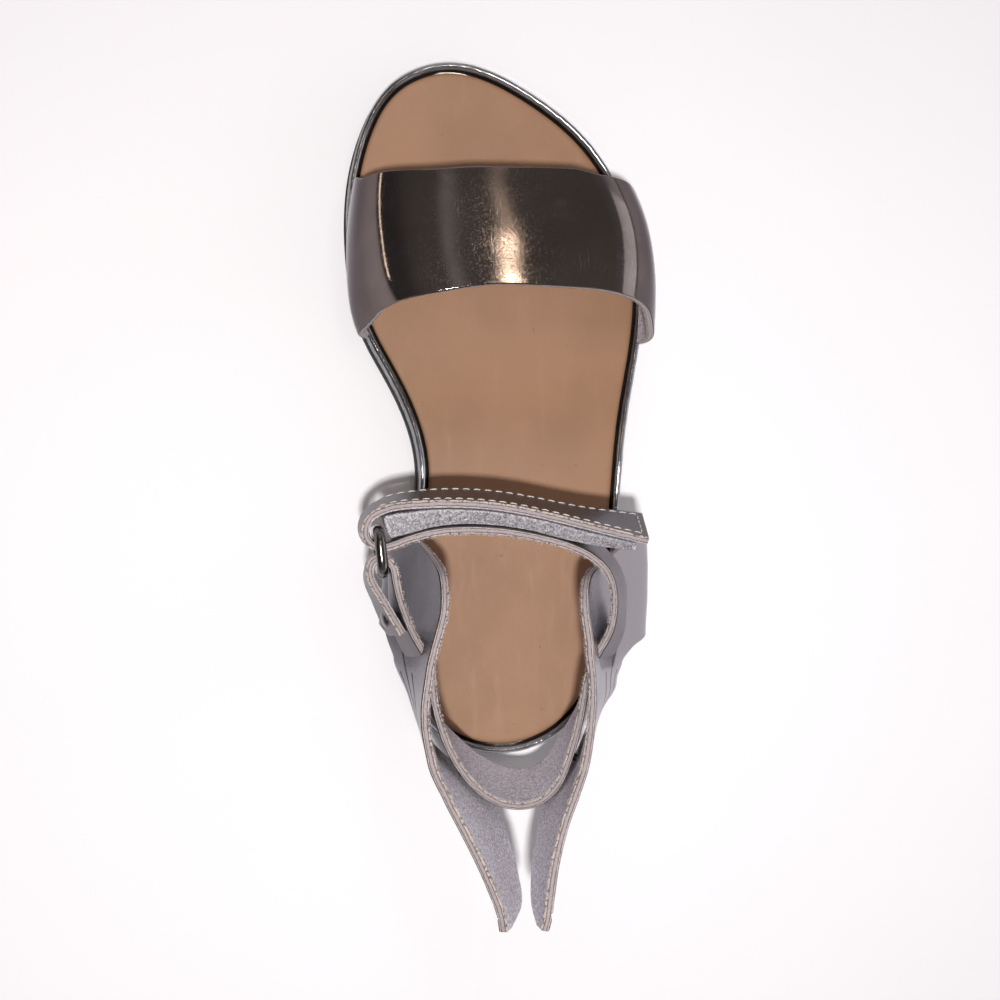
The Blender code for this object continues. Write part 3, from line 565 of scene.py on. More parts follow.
# Leather with thickness: the middle surface moved half a thickness along its normal to both sides, joined
# round its border by a cut edge with eased corners. Also gives each point's depth, flesh (-1) to grain (1).
def leatherSheet(middle, thickness, grainSide, corner=0.18, relief=0.0):
    columns, rows = middle.shape[:2]
    normal = gridNormals(middle) * grainSide
    half = np.broadcast_to(np.asarray(thickness) / 2, (columns, rows))
    inner = drawnIn(middle, corner)
    grain = inner + normal * (half + relief)[..., None]
    flesh = inner - normal * half[..., None]
    index = np.arange(columns * rows).reshape(columns, rows)
    border = np.concatenate([index[:-1, 0], index[-1, :-1], index[:0:-1, -1], index[0, :0:-1]])
    flat, flatNormal = middle.reshape(-1, 3)[border], normal.reshape(-1, 3)[border]
    shoulder = (half.ravel()[border] - corner)[:, None]
    upper, lower = flat + flatNormal * shoulder, flat - flatNormal * shoulder
    points = np.concatenate([grain.reshape(-1, 3), flesh.reshape(-1, 3), upper, lower])
    size, count = columns * rows, len(border)
    rings = [border, 2 * size + np.arange(count), 2 * size + count + np.arange(count), size + border]
    strips = [np.stack([a, np.roll(a, -1), np.roll(b, -1), b], -1) for a, b in zip(rings, rings[1:])]
    quads = np.concatenate([gridQuads(columns, rows), gridQuads(columns, rows, size), *strips])
    inside = 1 - corner / half.ravel()[border]
    through = np.concatenate([np.ones(size), -np.ones(size), inside, -inside])
    return points, quads, through


# One finish per column on both faces; the eased corner keeps the grain's finish, the other border is cut edge
def sheetSlots(columns, rows, grainSlots, fleshSlots, edgeSlot):
    grain, flesh = (np.broadcast_to(slots, columns - 1) for slots in (grainSlots, fleshSlots))
    corner = np.concatenate([grain, np.full(rows - 1, grain[-1]), grain[::-1], np.full(rows - 1, grain[0])])
    return np.concatenate([np.repeat(grain, rows - 1), np.repeat(flesh, rows - 1), corner,
                           np.full(2 * len(corner), edgeSlot)])


def onBothFaces(values, points):  # a mark of the grid for both faces of its sheet, 0 on the border
    return np.concatenate([values.ravel(), values.ravel(), np.zeros(len(points) - 2 * values.size)])


def bellyShape(share):  # 0 at the foot, 1 a quarter of the way up, 0 at the top
    share = np.clip(share, 0.0, 1.0)
    return 256.0 / 27.0 * share * (1 - share) ** 3


frontStrap = dict(
    columns=280, rows=72, thickness=1.6, crownZ=37.2, crownLift=2.4, rounding=(0.25, 0.32), heightPower=0.78,
    medialBelly=(-0.8, 2.0), lateralBelly=(0.0, 1.5), waves=0.02, paintedReflection=0.3, paintedReflectionFrom=(0.78, 0.93),
    edges=(  # reach from the medial seat, -1, to the lateral, 1; front y, rear y
        (-1.0, 113.0, 83.4), (-0.92, 110.2, 86.3), (-0.6, 110.2, 88.1), (-0.15, 110.9, 89.7),
        (0.45, 111.0, 89.3), (0.65, 110.2, 88.7), (0.9, 110.0, 86.9), (1.0, 112.0, 82.8),
    ),
)


# Squared arch from seat to seat: side is -cos(pi * share), reach is side raised to the rounding, height is
# sin(pi * share) raised to its power; x follows the reach between the seats and bulges outward near the sole,
# z is the height plus a parabola over the top, y runs from the front edge to the rear one.
def frontStrapAt(look, share, across):
    side = -np.cos(math.pi * share)
    height = np.maximum(np.sin(math.pi * share), 0.0) ** look["heightPower"]
    reach = np.sign(side) * np.abs(side) ** np.where(side < 0, *look["rounding"])
    front, rear = np.moveaxis(steadyThrough(look["edges"])(reach), -1, 0)
    medial, lateral = (seatX(name, row[1] + (row[2] - row[1]) * across)
                       for name, row in (("medial", look["edges"][0]), ("lateral", look["edges"][-1])))
    bellies = [np.where(side < 0, *pair) for pair in zip(look["medialBelly"], look["lateralBelly"])]
    bulge = (bellies[0] + (bellies[1] - bellies[0]) * across) * bellyShape(height)
    x = (medial + lateral) / 2 + (lateral - medial) / 2 * reach + np.sign(side) * bulge
    z = sole["seatZ"] + (look["crownZ"] - look["crownLift"] - sole["seatZ"]) * height
    return np.stack([x, front + (rear - front) * across, z + look["crownLift"] * (1 - reach ** 2)], -1)


spread = np.linspace(-1.0, 1.0, 4001)
fineShare = 0.5 + 0.5 * np.sign(spread) * spread ** 4  # close together over the crown, where x runs fast
strapLength = lengthAlong(frontStrapAt(frontStrap, fineShare, np.full(4001, 0.5)))
evenShare = np.interp(np.linspace(0.0, strapLength[-1], frontStrap["columns"]), strapLength, fineShare)
u, v = shareGrid(frontStrap["columns"], frontStrap["rows"])
strapMiddle = frontStrapAt(frontStrap, np.broadcast_to(evenShare[:, None], v.shape), v)
dents = np.sin(17 * u + 5 * v) * np.sin(3 + 9 * v - 6 * u) + 0.6 * np.sin(31 * u - 7 * v + 1)
points, quads, through = leatherSheet(strapMiddle, frontStrap["thickness"], -1.0,
                                      relief=frontStrap["waves"] * dents * ease(0.0, 0.08, v * (1 - v)))
# painted reflection: the lateral flank is painted paler, for lit floor mirrored in it
paintedReflection = onBothFaces(frontStrap["paintedReflection"] * ease(*frontStrap["paintedReflectionFrom"], u), points)
addPiece("front_strap_leather", points, quads, [gunmetalGrain, suede, strapEdge], "gunmetal_leather",
         ["front_strap"], {"through": through, "pale": paintedReflection},
         sheetSlots(frontStrap["columns"], frontStrap["rows"], 0, 1, 2))
print("front strap done")


wing = dict(
    columns=330, rows=84, thickness=1.5, wallZ=48.0, scallop=1.7, cutDepth=0.45, cutWidth=0.22,
    slitGroove=(1.5, 1.05),  # distance from the strap's middle where the slot's painted shade starts and is full
    medial=dict(
        paintedReflection=0.0, cusps=(21.5, 11.0, 0.0, -10.9, -20.9),
        fan=(  # share of the wing's columns, y on the lower edge and on the upper
            (0.0, 27.1, 47.4), (0.17, 26.9, 42.5), (0.29, 25.6, 36.5),
            (0.36, 21.5, 28.5), (1.0, -20.9, -20.9),
        ),
        rows=(  # y, wall x, lean to +x per mm down, outward belly, lower z, upper z
            (47.4, -16.2, 0.0, 4.3, 6.0, 10.0), (46.3, -16.2, 0.0, 4.6, 6.0, 18.0),
            (44.3, -16.2, 0.0, 5.0, 6.0, 27.0), (41.2, -16.3, 0.0, 5.1, 6.0, 36.0),
            (37.4, -16.3, 0.0, 5.2, 6.0, 44.3), (32.0, -16.7, 0.0, 5.2, 6.0, 47.4),
            (27.3, -17.9, 0.0, 5.2, 6.0, 48.0), (26.9, -18.0, -0.095, 5.2, 16.0, 48.0),
            (25.6, -18.4, -0.092, 5.0, 21.5, 48.1), (21.5, -19.4, -0.08, 3.0, 23.2, 48.5),
            (14.0, -20.3, 0.0, 0.8, 24.5, 49.3), (6.0, -19.1, 0.04, 0.0, 27.0, 50.5),
            (0.0, -15.8, 0.2, 0.0, 29.5, 52.0), (-4.0, -13.0, 0.29, 0.0, 31.8, 53.3),
            (-10.9, -8.5, 0.34, 0.0, 37.8, 55.6), (-16.0, -5.9, 0.33, 0.0, 43.2, 57.2),
            (-19.6, -4.3, 0.37, 0.0, 49.3, 58.0), (-20.9, -4.2, 0.37, 0.0, 55.3, 57.6),
        ),
    ),
    lateral=dict(
        paintedReflection=0.85, cusps=(20.5, 10.5, 0.0, -10.9, -20.9),
        fan=(
            (0.0, 24.8, 45.9), (0.17, 24.6, 41.0), (0.29, 23.4, 35.0),
            (0.36, 20.5, 27.0), (1.0, -20.9, -20.9),
        ),
        rows=(
            (45.9, 7.2, 0.0, 6.8, 6.0, 10.0), (44.8, 7.2, 0.0, 7.1, 6.0, 18.0),
            (43.0, 7.2, 0.0, 7.5, 6.0, 24.5), (40.2, 7.1, 0.0, 7.8, 6.0, 32.5),
            (36.8, 7.1, 0.0, 8.0, 6.0, 43.0), (31.5, 7.5, 0.0, 8.1, 6.0, 47.2),
            (25.0, 8.4, 0.0, 8.1, 6.0, 48.0), (24.6, 8.4, 0.255, 8.1, 17.0, 48.0),
            (23.4, 8.5, 0.262, 7.2, 23.0, 48.1), (20.5, 8.9, 0.31, 3.0, 25.3, 48.5),
            (16.5, 9.1, 0.34, 0.0, 26.0, 48.9), (11.5, 8.7, 0.24, 0.0, 27.2, 49.5),
            (6.0, 7.8, 0.17, 0.0, 29.0, 50.6), (0.0, 5.6, 0.12, 0.0, 30.5, 52.2),
            (-4.3, 3.4, 0.03, 0.0, 32.0, 53.4), (-10.9, 1.1, -0.01, 0.0, 38.4, 55.4),
            (-16.0, -0.3, -0.04, 0.0, 44.5, 57.2), (-19.2, -1.2, -0.07, 0.0, 49.5, 57.9),
            (-20.9, -1.7, -0.08, 0.0, 55.3, 57.7),
        ),
    ),
    cuts=(  # feather cuts: rear end y, z above the lower edge, length, rise
        (11.0, 1.2, 8.0, 0.6), (0.0, 1.2, 8.5, 1.0), (-10.9, 1.0, 8.5, 2.2),
        (6.2, 6.4, 8.5, 0.6), (-4.8, 6.2, 8.5, 1.2), (15.0, 6.6, 8.0, 0.3),
        (11.0, 11.5, 8.5, 0.3), (0.6, 11.4, 8.5, 0.8),
    ),
)


# Table of a wing by y; where it stands on the sole, the lean is the one that reaches the seat
def wingTable(side):
    rows = []
    for y, wallX, lean, belly, low, high in wing[side]["rows"]:
        if low == sole["seatZ"]:
            lean = (float(seatX(side, y)) - wallX) / (wing["wallZ"] - low)
        rows.append((y, wallX, lean, belly, low, high))
    return steadyThrough(rows)


# Wall of a wing: x at the top, plus the lean for each mm down, plus a belly outward near the sole
def wingWall(side, table, y, z):
    wallX, lean, belly = np.moveaxis(table(y)[..., :3], -1, 0)
    outward = 1.0 if side == "lateral" else -1.0
    lift = (z - sole["seatZ"]) / (wing["wallZ"] - sole["seatZ"])
    return wallX + lean * (wing["wallZ"] - z) + outward * belly * bellyShape(lift)


# Lower edge: the table's edge with a half-ellipse lobe hung between each pair of cusps
def wingLower(side, table, y):
    low = table(y)[..., 3]
    cusps = wing[side]["cusps"]
    for front, rear in zip(cusps, cusps[1:]):
        share = np.clip((y - rear) / (front - rear), 0.0, 1.0)
        low = low - wing["scallop"] * np.sqrt(4 * share * (1 - share))
    return low


# Middle of a wing: straight lines in side view from the lower edge to the upper one, fanned round from the
# sole to the tail, set on the wall
def wingMiddle(side, table):
    fan = np.array(wing[side]["fan"])
    sides = []
    for column, edge in ((1, lambda y: wingLower(side, table, y)), (2, lambda y: table(y)[..., 4])):
        first = fan[0, column] if column == 2 else fan[1, column]
        y = np.linspace(first, fan[-1, column], 3000)
        line = np.stack([np.append(fan[0, column], y), np.append(sole["seatZ"], edge(y))], -1)
        length = lengthAlong(line)
        stops = np.interp(-fan[:, column], -line[:, 0] + 1e-9 * np.arange(len(line)), length)
        stops[0], stops[-1] = 0.0, length[-1]
        place = np.interp(np.linspace(0.0, 1.0, wing["columns"]), fan[:, 0], stops)
        sides.append(np.stack([np.interp(place, length, line[:, k]) for k in range(2)], -1))
    t = np.linspace(0.0, 1.0, wing["rows"])[:, None]
    side2d = (1 - t) * sides[0][:, None] + t * sides[1][:, None]
    y, z = side2d[..., 0], side2d[..., 1]
    return np.stack([wingWall(side, table, y, z), y, z], -1)


# Feather cuts: a groove whose depth falls as exp of minus the squared distance to each short line
def featherCuts(side, table, middle):
    y, z = middle[..., 1], middle[..., 2]
    depth = np.zeros_like(y)
    for rear, above, length, rise in wing["cuts"]:
        start = np.array([rear, float(table(np.array(rear))[3]) + above])
        run = np.array([length, rise - 0.22 * length])
        t = np.clip(((y - start[0]) * run[0] + (z - start[1]) * run[1]) / (run @ run), 0.0, 1.0)
        bow = 0.35 * np.sin(math.pi * t)
        away = np.hypot(y - start[0] - t * run[0], z - start[1] - t * run[1] - bow)
        depth = np.maximum(depth, np.exp(-(away / wing["cutWidth"]) ** 2))
    return depth


# Loose fibres: thin three-sided arcs, along * cos t + up * sin t times their size, pointed at both ends
def fibreArcs(foot, along, up, size, width, turn=(-0.2, math.pi + 0.2)):
    t, ring = np.meshgrid(np.linspace(*turn, 8), np.linspace(0.0, 2 * math.pi, 4), indexing="ij")
    taper = np.sqrt(1 - np.linspace(-1.0, 1.0, 8) ** 6)[:, None, None]
    along, up, aside = (vectors[:, None, None] for vectors in (along, up, np.cross(along, up)))
    arc = np.cos(t)[..., None] * along + np.sin(t)[..., None] * up
    section = np.cos(ring)[..., None] * aside + np.sin(ring)[..., None] * arc
    return list(foot[:, None, None] + size[:, None, None, None] * arc + width / 2 * taper * section)


nap = dict(perWing=700, onStrap=700, size=(0.10, 0.34), width=0.07, curl=(0.0, 2.0), lean=0.4)


# Nap raised along the flesh side's upper border; flesh points away from the hide, edge up to the border
def addNap(name, foot, flesh, edge):
    count = len(foot)
    turn = draw.uniform(0.0, 2 * math.pi, count)[:, None]
    along = unit(np.cross(flesh, edge)) * np.cos(turn) + edge * np.sin(turn)
    up = unit(flesh + nap["lean"] * edge)
    fibres = fibreArcs(foot, along, up, draw.uniform(*nap["size"], count), nap["width"], nap["curl"])
    addPiece(name, *joined(fibres), [suede], "pewter_leather")


ankle = dict(
    columns=1100, rows=20, thickness=1.4, width=11.0, stitchIn=1.25, stitchPitch=1.9,
    slitRows=dict(medial=12, lateral=26), tabTurn=6, ringTurn=40, stitchFrom=42,  # rows of the route
    route=(  # x, y, upper edge z, width, degrees that the lower edge leans right
        (-23.7, 27.4, 42.4, 10.4, -10.0), (-25.7, 30.8, 43.4, 10.6, -9.0), (-27.6, 34.0, 44.8, 10.8, -6.0),
        (-29.2, 36.8, 46.2, 11.0, -3.0), (-29.6, 38.9, 46.9, 11.0, 0.0), (-28.7, 40.5, 47.0, 11.0, 0.0),
        (-27.2, 40.7, 47.0, 11.0, 0.0), (-25.8, 39.6, 46.9, 11.0, 0.0), (-25.2, 37.4, 46.4, 11.0, 1.0),
        (-24.4, 34.0, 45.0, 10.8, 5.0), (-23.3, 30.8, 43.5, 10.6, 10.0), (-22.0, 27.7, 42.4, 10.5, 13.0),
        (-20.3, 24.7, 41.7, 10.8, 14.0), (-18.7, 21.5, 41.1, 11.2, 11.0), (-18.2, 17.0, 40.4, 12.2, 5.0),
        (-17.2, 11.8, 39.8, 13.8, 2.0), (-15.3, 6.6, 39.3, 15.4, -5.0), (-12.2, 1.5, 39.0, 16.8, -10.0),
        (-8.3, -2.2, 39.0, 17.6, -12.0), (-3.5, -3.9, 39.0, 18.0, -11.0), (1.1, -3.1, 39.0, 17.6, -8.0),
        (4.2, -0.3, 39.0, 16.8, -3.0), (6.3, 4.6, 39.3, 15.4, 1.0), (7.7, 9.8, 39.8, 13.8, 6.0),
        (8.6, 14.8, 40.3, 12.2, 12.0), (9.5, 19.8, 41.0, 11.2, 18.0), (11.3, 24.0, 41.6, 11.0, 22.0),
        (13.0, 27.4, 42.4, 11.0, 22.0), (13.6, 30.9, 43.3, 11.0, 20.0), (13.4, 34.4, 44.4, 11.0, 20.0),
        (12.2, 37.8, 45.5, 11.0, 18.0), (9.2, 40.7, 46.7, 11.0, 16.0), (4.4, 42.9, 47.8, 11.0, 14.0),
        (-1.0, 44.3, 48.6, 11.0, 13.0), (-7.0, 45.3, 48.9, 11.0, 13.0), (-13.5, 45.6, 48.9, 11.0, 12.0),
        (-19.5, 45.0, 48.8, 11.0, 10.0), (-24.2, 43.6, 48.7, 11.0, 5.0), (-27.4, 42.7, 48.6, 11.0, 2.0),
        (-29.5, 43.3, 48.6, 11.0, 0.0), (-30.4, 45.3, 48.6, 11.0, -2.0), (-29.7, 47.5, 48.6, 11.0, -4.0),
        (-27.2, 49.1, 48.6, 11.0, -7.0), (-22.5, 49.9, 48.8, 11.0, -10.0), (-15.0, 50.1, 48.9, 11.0, -12.0),
        (-7.0, 49.5, 48.9, 11.0, -13.0), (0.0, 48.2, 48.7, 11.0, -14.0), (7.0, 46.5, 48.3, 11.0, -16.0),
        (13.0, 45.0, 47.8, 11.0, -20.0), (19.0, 43.6, 47.2, 11.0, -24.0),
    ),
)


# Strip hung from a route along its upper edge: across 0 is the lower edge, moved aside by width * sin(lean)
# and down by width * cos(lean)
def stripAlong(route):
    path, shares = cubicThrough(route)

    def at(share, across):
        x, y, z, width, lean = np.moveaxis(path(share), -1, 0)
        along = unit((path(np.minimum(share + 1e-3, 1.0)) - path(np.maximum(share - 1e-3, 0.0)))[..., :2])
        down = width * (1 - across)
        aside = down * np.sin(np.radians(lean))
        drop = down * np.cos(np.radians(lean))
        return np.stack([x + aside * along[..., 1], y - aside * along[..., 0], z - drop], -1)

    return at, shares


def stripNormal(at, share, across):  # cross product of the directions along and up the strip
    along = at(share + 1e-3, across) - at(share - 1e-3, across)
    return unit(np.cross(along, at(share, across + 0.02) - at(share, across - 0.02)))


ankleAt, ankleShares = stripAlong(ankle["route"])
wingTables = {side: wingTable(side) for side in ("medial", "lateral")}
for side, table in wingTables.items():
    middle = wingMiddle(side, table)
    cuts = featherCuts(side, table, middle)
    crossing = ankle["slitRows"][side]
    nearShares = np.linspace(ankleShares[crossing - 2], ankleShares[crossing + 2], 60)
    strapNear = ankleAt(*np.meshgrid(nearShares, np.linspace(0.0, 1.0, 24), indexing="ij")).reshape(-1, 3)
    slitDistance = np.full(middle.shape[:2], 9.0)
    closeTo = np.linalg.norm(middle - strapNear.mean(0), axis=-1) < 12.0
    slitDistance[closeTo] = np.linalg.norm(middle[closeTo][:, None] - strapNear, axis=-1).min(1)
    # painted shade: feather cuts and the slot round the strap are marked to be painted near black
    groove = np.maximum(cuts, ease(*wing["slitGroove"], slitDistance))
    normals = gridNormals(middle)
    grainSide = float(np.sign(normals[..., 0].mean()) * (1.0 if side == "lateral" else -1.0))
    points, quads, through = leatherSheet(middle, wing["thickness"], grainSide,
                                          relief=-wing["cutDepth"] * cuts)
    # painted reflection: the lateral wing is painted paler than the medial one, for lit floor mirrored in it
    marks = {"through": through, "groove": onBothFaces(groove, points),
             "pale": np.full(len(points), wing[side]["paintedReflection"])}
    addPiece(f"wing_{side}_leather", points, quads, [pewterGrain, suede, paleEdge], "pewter_leather",
             [f"wing_{side}"], marks, sheetSlots(wing["columns"], wing["rows"], 0, 1, 2))
    along = draw.integers(6, wing["columns"] - 6, nap["perWing"])
    below = draw.integers(2, 5, nap["perWing"])
    flesh = -grainSide * normals[along, -below]
    addNap(f"wing_{side}_nap", middle[along, -below] + flesh * wing["thickness"] / 2, flesh,
           unit(middle[along, -1] - middle[along, -2]))
print("wings done")

ankleGrid = shareGrid(ankle["columns"], ankle["rows"])
points, quads, through = leatherSheet(ankleAt(*ankleGrid), ankle["thickness"], 1.0)
mids = (ankleGrid[0][1:, 0] + ankleGrid[0][:-1, 0]) / 2
turned = (mids < ankleShares[ankle["tabTurn"]]) | (mids > ankleShares[ankle["ringTurn"]])  # ends folded back
addPiece("ankle_strap_leather", points, quads, [strapGrain, suede, paleEdge], "pewter_leather",
         ["ankle_strap"], {"through": through},
         sheetSlots(ankle["columns"], ankle["rows"], np.where(turned, 1, 0), np.where(turned, 0, 1), 2))

napShare = draw.uniform(ankleShares[ankle["tabTurn"]], ankleShares[ankle["ringTurn"]], nap["onStrap"])
napAcross = draw.uniform(0.95, 0.985, nap["onStrap"])
flesh = -stripNormal(ankleAt, napShare, napAcross)
addNap("ankle_strap_nap", ankleAt(napShare, napAcross) + flesh * ankle["thickness"] / 2, flesh,
       unit(ankleAt(napShare, napAcross) - ankleAt(napShare, napAcross - 0.05)))


# Stitches: short crowned grains of thread, z = rise * (1 - a^2) along their length, in lines on the strap
def stitchesOn(at, share, across, shareStep, acrossStep, side, lift, length=1.55, thick=0.21, rise=0.16):
    centre = at(share, across) + side * lift * stripNormal(at, share, across)
    along = unit(at(share + shareStep, across + acrossStep) - at(share - shareStep, across - acrossStep))
    outward = side * stripNormal(at, share, across)
    aside = np.cross(outward, along)
    a, turn = np.meshgrid(np.linspace(-1.0, 1.0, 9), np.linspace(0.0, 2 * math.pi, 9), indexing="ij")
    radius = thick / 2 * np.sqrt(1 - a ** 4)
    crown = rise * (1 - a ** 2) - rise / 2
    local = np.stack([a * length / 2, radius * np.cos(turn), radius * np.sin(turn) + crown], -1)
    axes = np.stack([along, aside, outward], 1)
    return list(np.einsum("uvk,nkc->nuvc", local, axes) + centre[:, None, None])


fine = np.linspace(0.0, 1.0, 6000)
reachAlong = lengthAlong(ankleAt(fine, np.full(6000, 0.5)))
startLength = np.interp(ankleShares[ankle["stitchFrom"]], fine, reachAlong)
stops = np.arange(startLength, reachAlong[-1] - ankle["stitchIn"] - 0.6, ankle["stitchPitch"])
stitchShare = np.interp(stops, reachAlong, fine)
inShare = ankle["stitchIn"] / ankle["width"]
half = ankle["thickness"] / 2
stitches = []
for across in (inShare, 1.0 - inShare):
    stitches += stitchesOn(ankleAt, stitchShare, np.full_like(stitchShare, across), 1e-3, 0.0, -1.0, half)
endShare = np.interp(reachAlong[-1] - ankle["stitchIn"], reachAlong, fine)
endAcross = np.linspace(inShare + 0.12, 1.0 - inShare - 0.12, 4)
stitches += stitchesOn(ankleAt, np.full(4, endShare), endAcross, 0.0, 1e-2, -1.0, half)
addPiece("ankle_strap_stitches", *joined(stitches), [creamThread], "pewter_leather")
print("ankle strap done")

pad = dict(
    columns=280, rows=26, fibres=3200, fibreWidth=0.10, lump=0.05, lumpLimit=1.5, loopSize=(0.16, 0.42),
    loopSpread=0.38,
    route=(  # x, y, upper edge z, width, lean, thickness
        (16.8, 42.5, 46.9, 9.6, 21.0, 1.25), (11.0, 43.5, 47.5, 9.6, 18.5, 1.95),
        (4.4, 45.0, 48.0, 9.6, 15.0, 2.3), (-1.0, 46.35, 48.3, 9.6, 14.0, 2.2),
        (-7.0, 47.4, 48.5, 9.6, 13.0, 2.3), (-13.5, 47.85, 48.5, 9.6, 12.0, 2.5),
        (-19.5, 47.5, 48.4, 9.6, 10.5, 3.1), (-24.0, 46.65, 48.3, 9.6, 8.0, 3.8),
        (-26.3, 46.2, 48.2, 9.6, 7.0, 4.0), (-26.9, 46.05, 48.15, 9.6, 6.5, 3.3),
    ),
)
padAt, padShares = stripAlong([row[:5] for row in pad["route"]])
padGrid = shareGrid(pad["columns"], pad["rows"])
padThick = np.interp(padGrid[0], padShares, [row[5] for row in pad["route"]])
padLumps = pad["lump"] * np.clip(draw.standard_normal(padGrid[0].shape), -pad["lumpLimit"], pad["lumpLimit"])
addPiece("fastener_pad_weave", *leatherSheet(padAt(*padGrid), padThick, 1.0, relief=padLumps)[:2],
         [silverWeave], "pad_fabric", ["fastener_pad"])


# Loops of the pad: feet strewn over its upper edge, each arc turned its own way and leaning a little
def padLoops(look):
    count = look["fibres"]
    share, across = draw.uniform(0.01, 0.99, count), np.full(count, 0.985)
    thickness = np.interp(share, padShares, [row[5] for row in look["route"]])
    normal = stripNormal(padAt, share, across)
    up = unit(padAt(share, across) - padAt(share, across - 0.05))
    sideways = draw.uniform(-look["loopSpread"], look["loopSpread"], count) * thickness
    foot = padAt(share, across) + normal * sideways[:, None]
    turn = draw.uniform(0.0, math.pi, count)[:, None]
    along = unit(np.cross(up, normal)) * np.cos(turn) + normal * np.sin(turn)
    size = draw.uniform(*look["loopSize"], count)
    return fibreArcs(foot, 0.7 * along, up + 0.25 * along[:, [1, 2, 0]], size, look["fibreWidth"])


addPiece("fastener_pad_loops", *joined(padLoops(pad)), [silverWeave], "pad_fabric")
print("fastener pad done")

ring = dict(wire=1.9, frontBar=(-28.2, 45.6), rearBar=(-27.4, 38.2), lowZ=33.5, highZ=50.7, squareness=0.42,
            around=220, section=22)


# Ring: a rounded rectangle, x = a |cos|^s and z = b |sin|^s in the plane of its bars, swept by a circle
def ringGrid(look):
    turn = np.linspace(0.0, 2 * math.pi, look["around"] + 1)
    wide, tall = (np.sign(wave) * np.abs(wave) ** look["squareness"] for wave in (np.cos(turn), np.sin(turn)))
    front, rear = np.array(look["frontBar"]), np.array(look["rearBar"])
    level = (front + rear) / 2 + (front - rear) / 2 * wide[:, None]
    height = (look["lowZ"] + look["highZ"]) / 2 + (look["highZ"] - look["lowZ"]) / 2 * tall
    path = np.concatenate([level, height[:, None]], -1)
    length = lengthAlong(path)
    even = np.linspace(0.0, length[-1], look["around"] + 1)
    path = np.stack([np.interp(even, length, path[:, k]) for k in range(3)], -1)
    for step in range(6):  # a few rounds of averaging ease the corners
        path[:-1] = (np.roll(path[:-1], 1, 0) + 2 * path[:-1] + np.roll(path[:-1], -1, 0)) / 4
        path[-1] = path[0]
    along = np.gradient(path, axis=0)
    along[0] = along[-1] = path[1] - path[-2]
    plane = np.append(unit(np.array([front[1] - rear[1], rear[0] - front[0]])), 0.0)
    outward = unit(np.cross(unit(along), plane))
    wrap = np.linspace(0.0, 2 * math.pi, look["section"] + 1)[:, None]
    radius = look["wire"] / 2
    return path[:, None] + radius * (np.cos(wrap) * outward[:, None] + np.sin(wrap) * plane)


addPiece("ring_wire", *joined([ringGrid(ring)]), [darkNickel], "dark_metal", ["ring"])

rivet = dict(head=2.8, dome=0.6, shank=1.4, sides=40, tabRow=10, heelRows=dict(medial=17, lateral=22),
             heelAcross=0.7, sunk=0.06)


# Rivet: a profile of (along, radius) turned about the line from the inner leather face to the outer one
def addRivet(name, inner, outer):
    length = np.linalg.norm(outer - inner)
    axis = (outer - inner) / length
    aside = unit(np.cross(axis, (0.0, 0.0, 1.0)))
    up = np.cross(aside, axis)
    swell = np.linspace(0.0, math.pi / 2, 9)
    dome = np.stack([rivet["dome"] * np.cos(swell), rivet["head"] / 2 * np.sin(swell) ** 0.8], -1)
    rimRow = np.array([[0.0, rivet["head"] / 2 - 0.12], [0.0, rivet["shank"] / 2]])
    low = np.concatenate([dome * (-1, 1), rimRow])
    profile = np.concatenate([low, (low * (-1, 1))[::-1] + (length, 0.0)])
    turn = np.linspace(0.0, 2 * math.pi, rivet["sides"] + 1)
    spin = np.cos(turn)[:, None] * aside + np.sin(turn)[:, None] * up
    grid = inner + profile[:, :1, None] * axis + profile[:, 1:, None] * spin
    addPiece(name + "_metal", *joined([grid]), [darkNickel], "dark_metal", [name])


tabShare = np.array(ankleShares[rivet["tabRow"]])
middle, normal = ankleAt(tabShare, np.array(0.5)), stripNormal(ankleAt, tabShare, np.array(0.5))
outerShares = np.linspace(0.0, ankleShares[3], 400)
outerLayer = ankleAt(outerShares, np.full(400, 0.5))
reach = (outerLayer - middle) @ normal
reach = reach[np.argmin(np.linalg.norm(outerLayer - middle - reach[:, None] * normal, axis=1))]
addRivet("rivet_tab", middle - normal * half, middle + normal * (reach + half))
for side, row in rivet["heelRows"].items():
    share, across = np.array(ankleShares[row]), np.array(rivet["heelAcross"])
    middle, normal = ankleAt(share, across), stripNormal(ankleAt, share, across)
    tries = middle + np.linspace(0.5, 6.0, 300)[:, None] * normal
    miss = np.abs(wingWall(side, wingTables[side], tries[:, 1], tries[:, 2]) - tries[:, 0])
    inner = middle - normal * (half - rivet["dome"] - rivet["sunk"])  # inner head sunk in the hide
    addRivet("rivet_heel_" + side, inner, tries[np.argmin(miss)] + normal * wing["thickness"] / 2)
print("metal done")

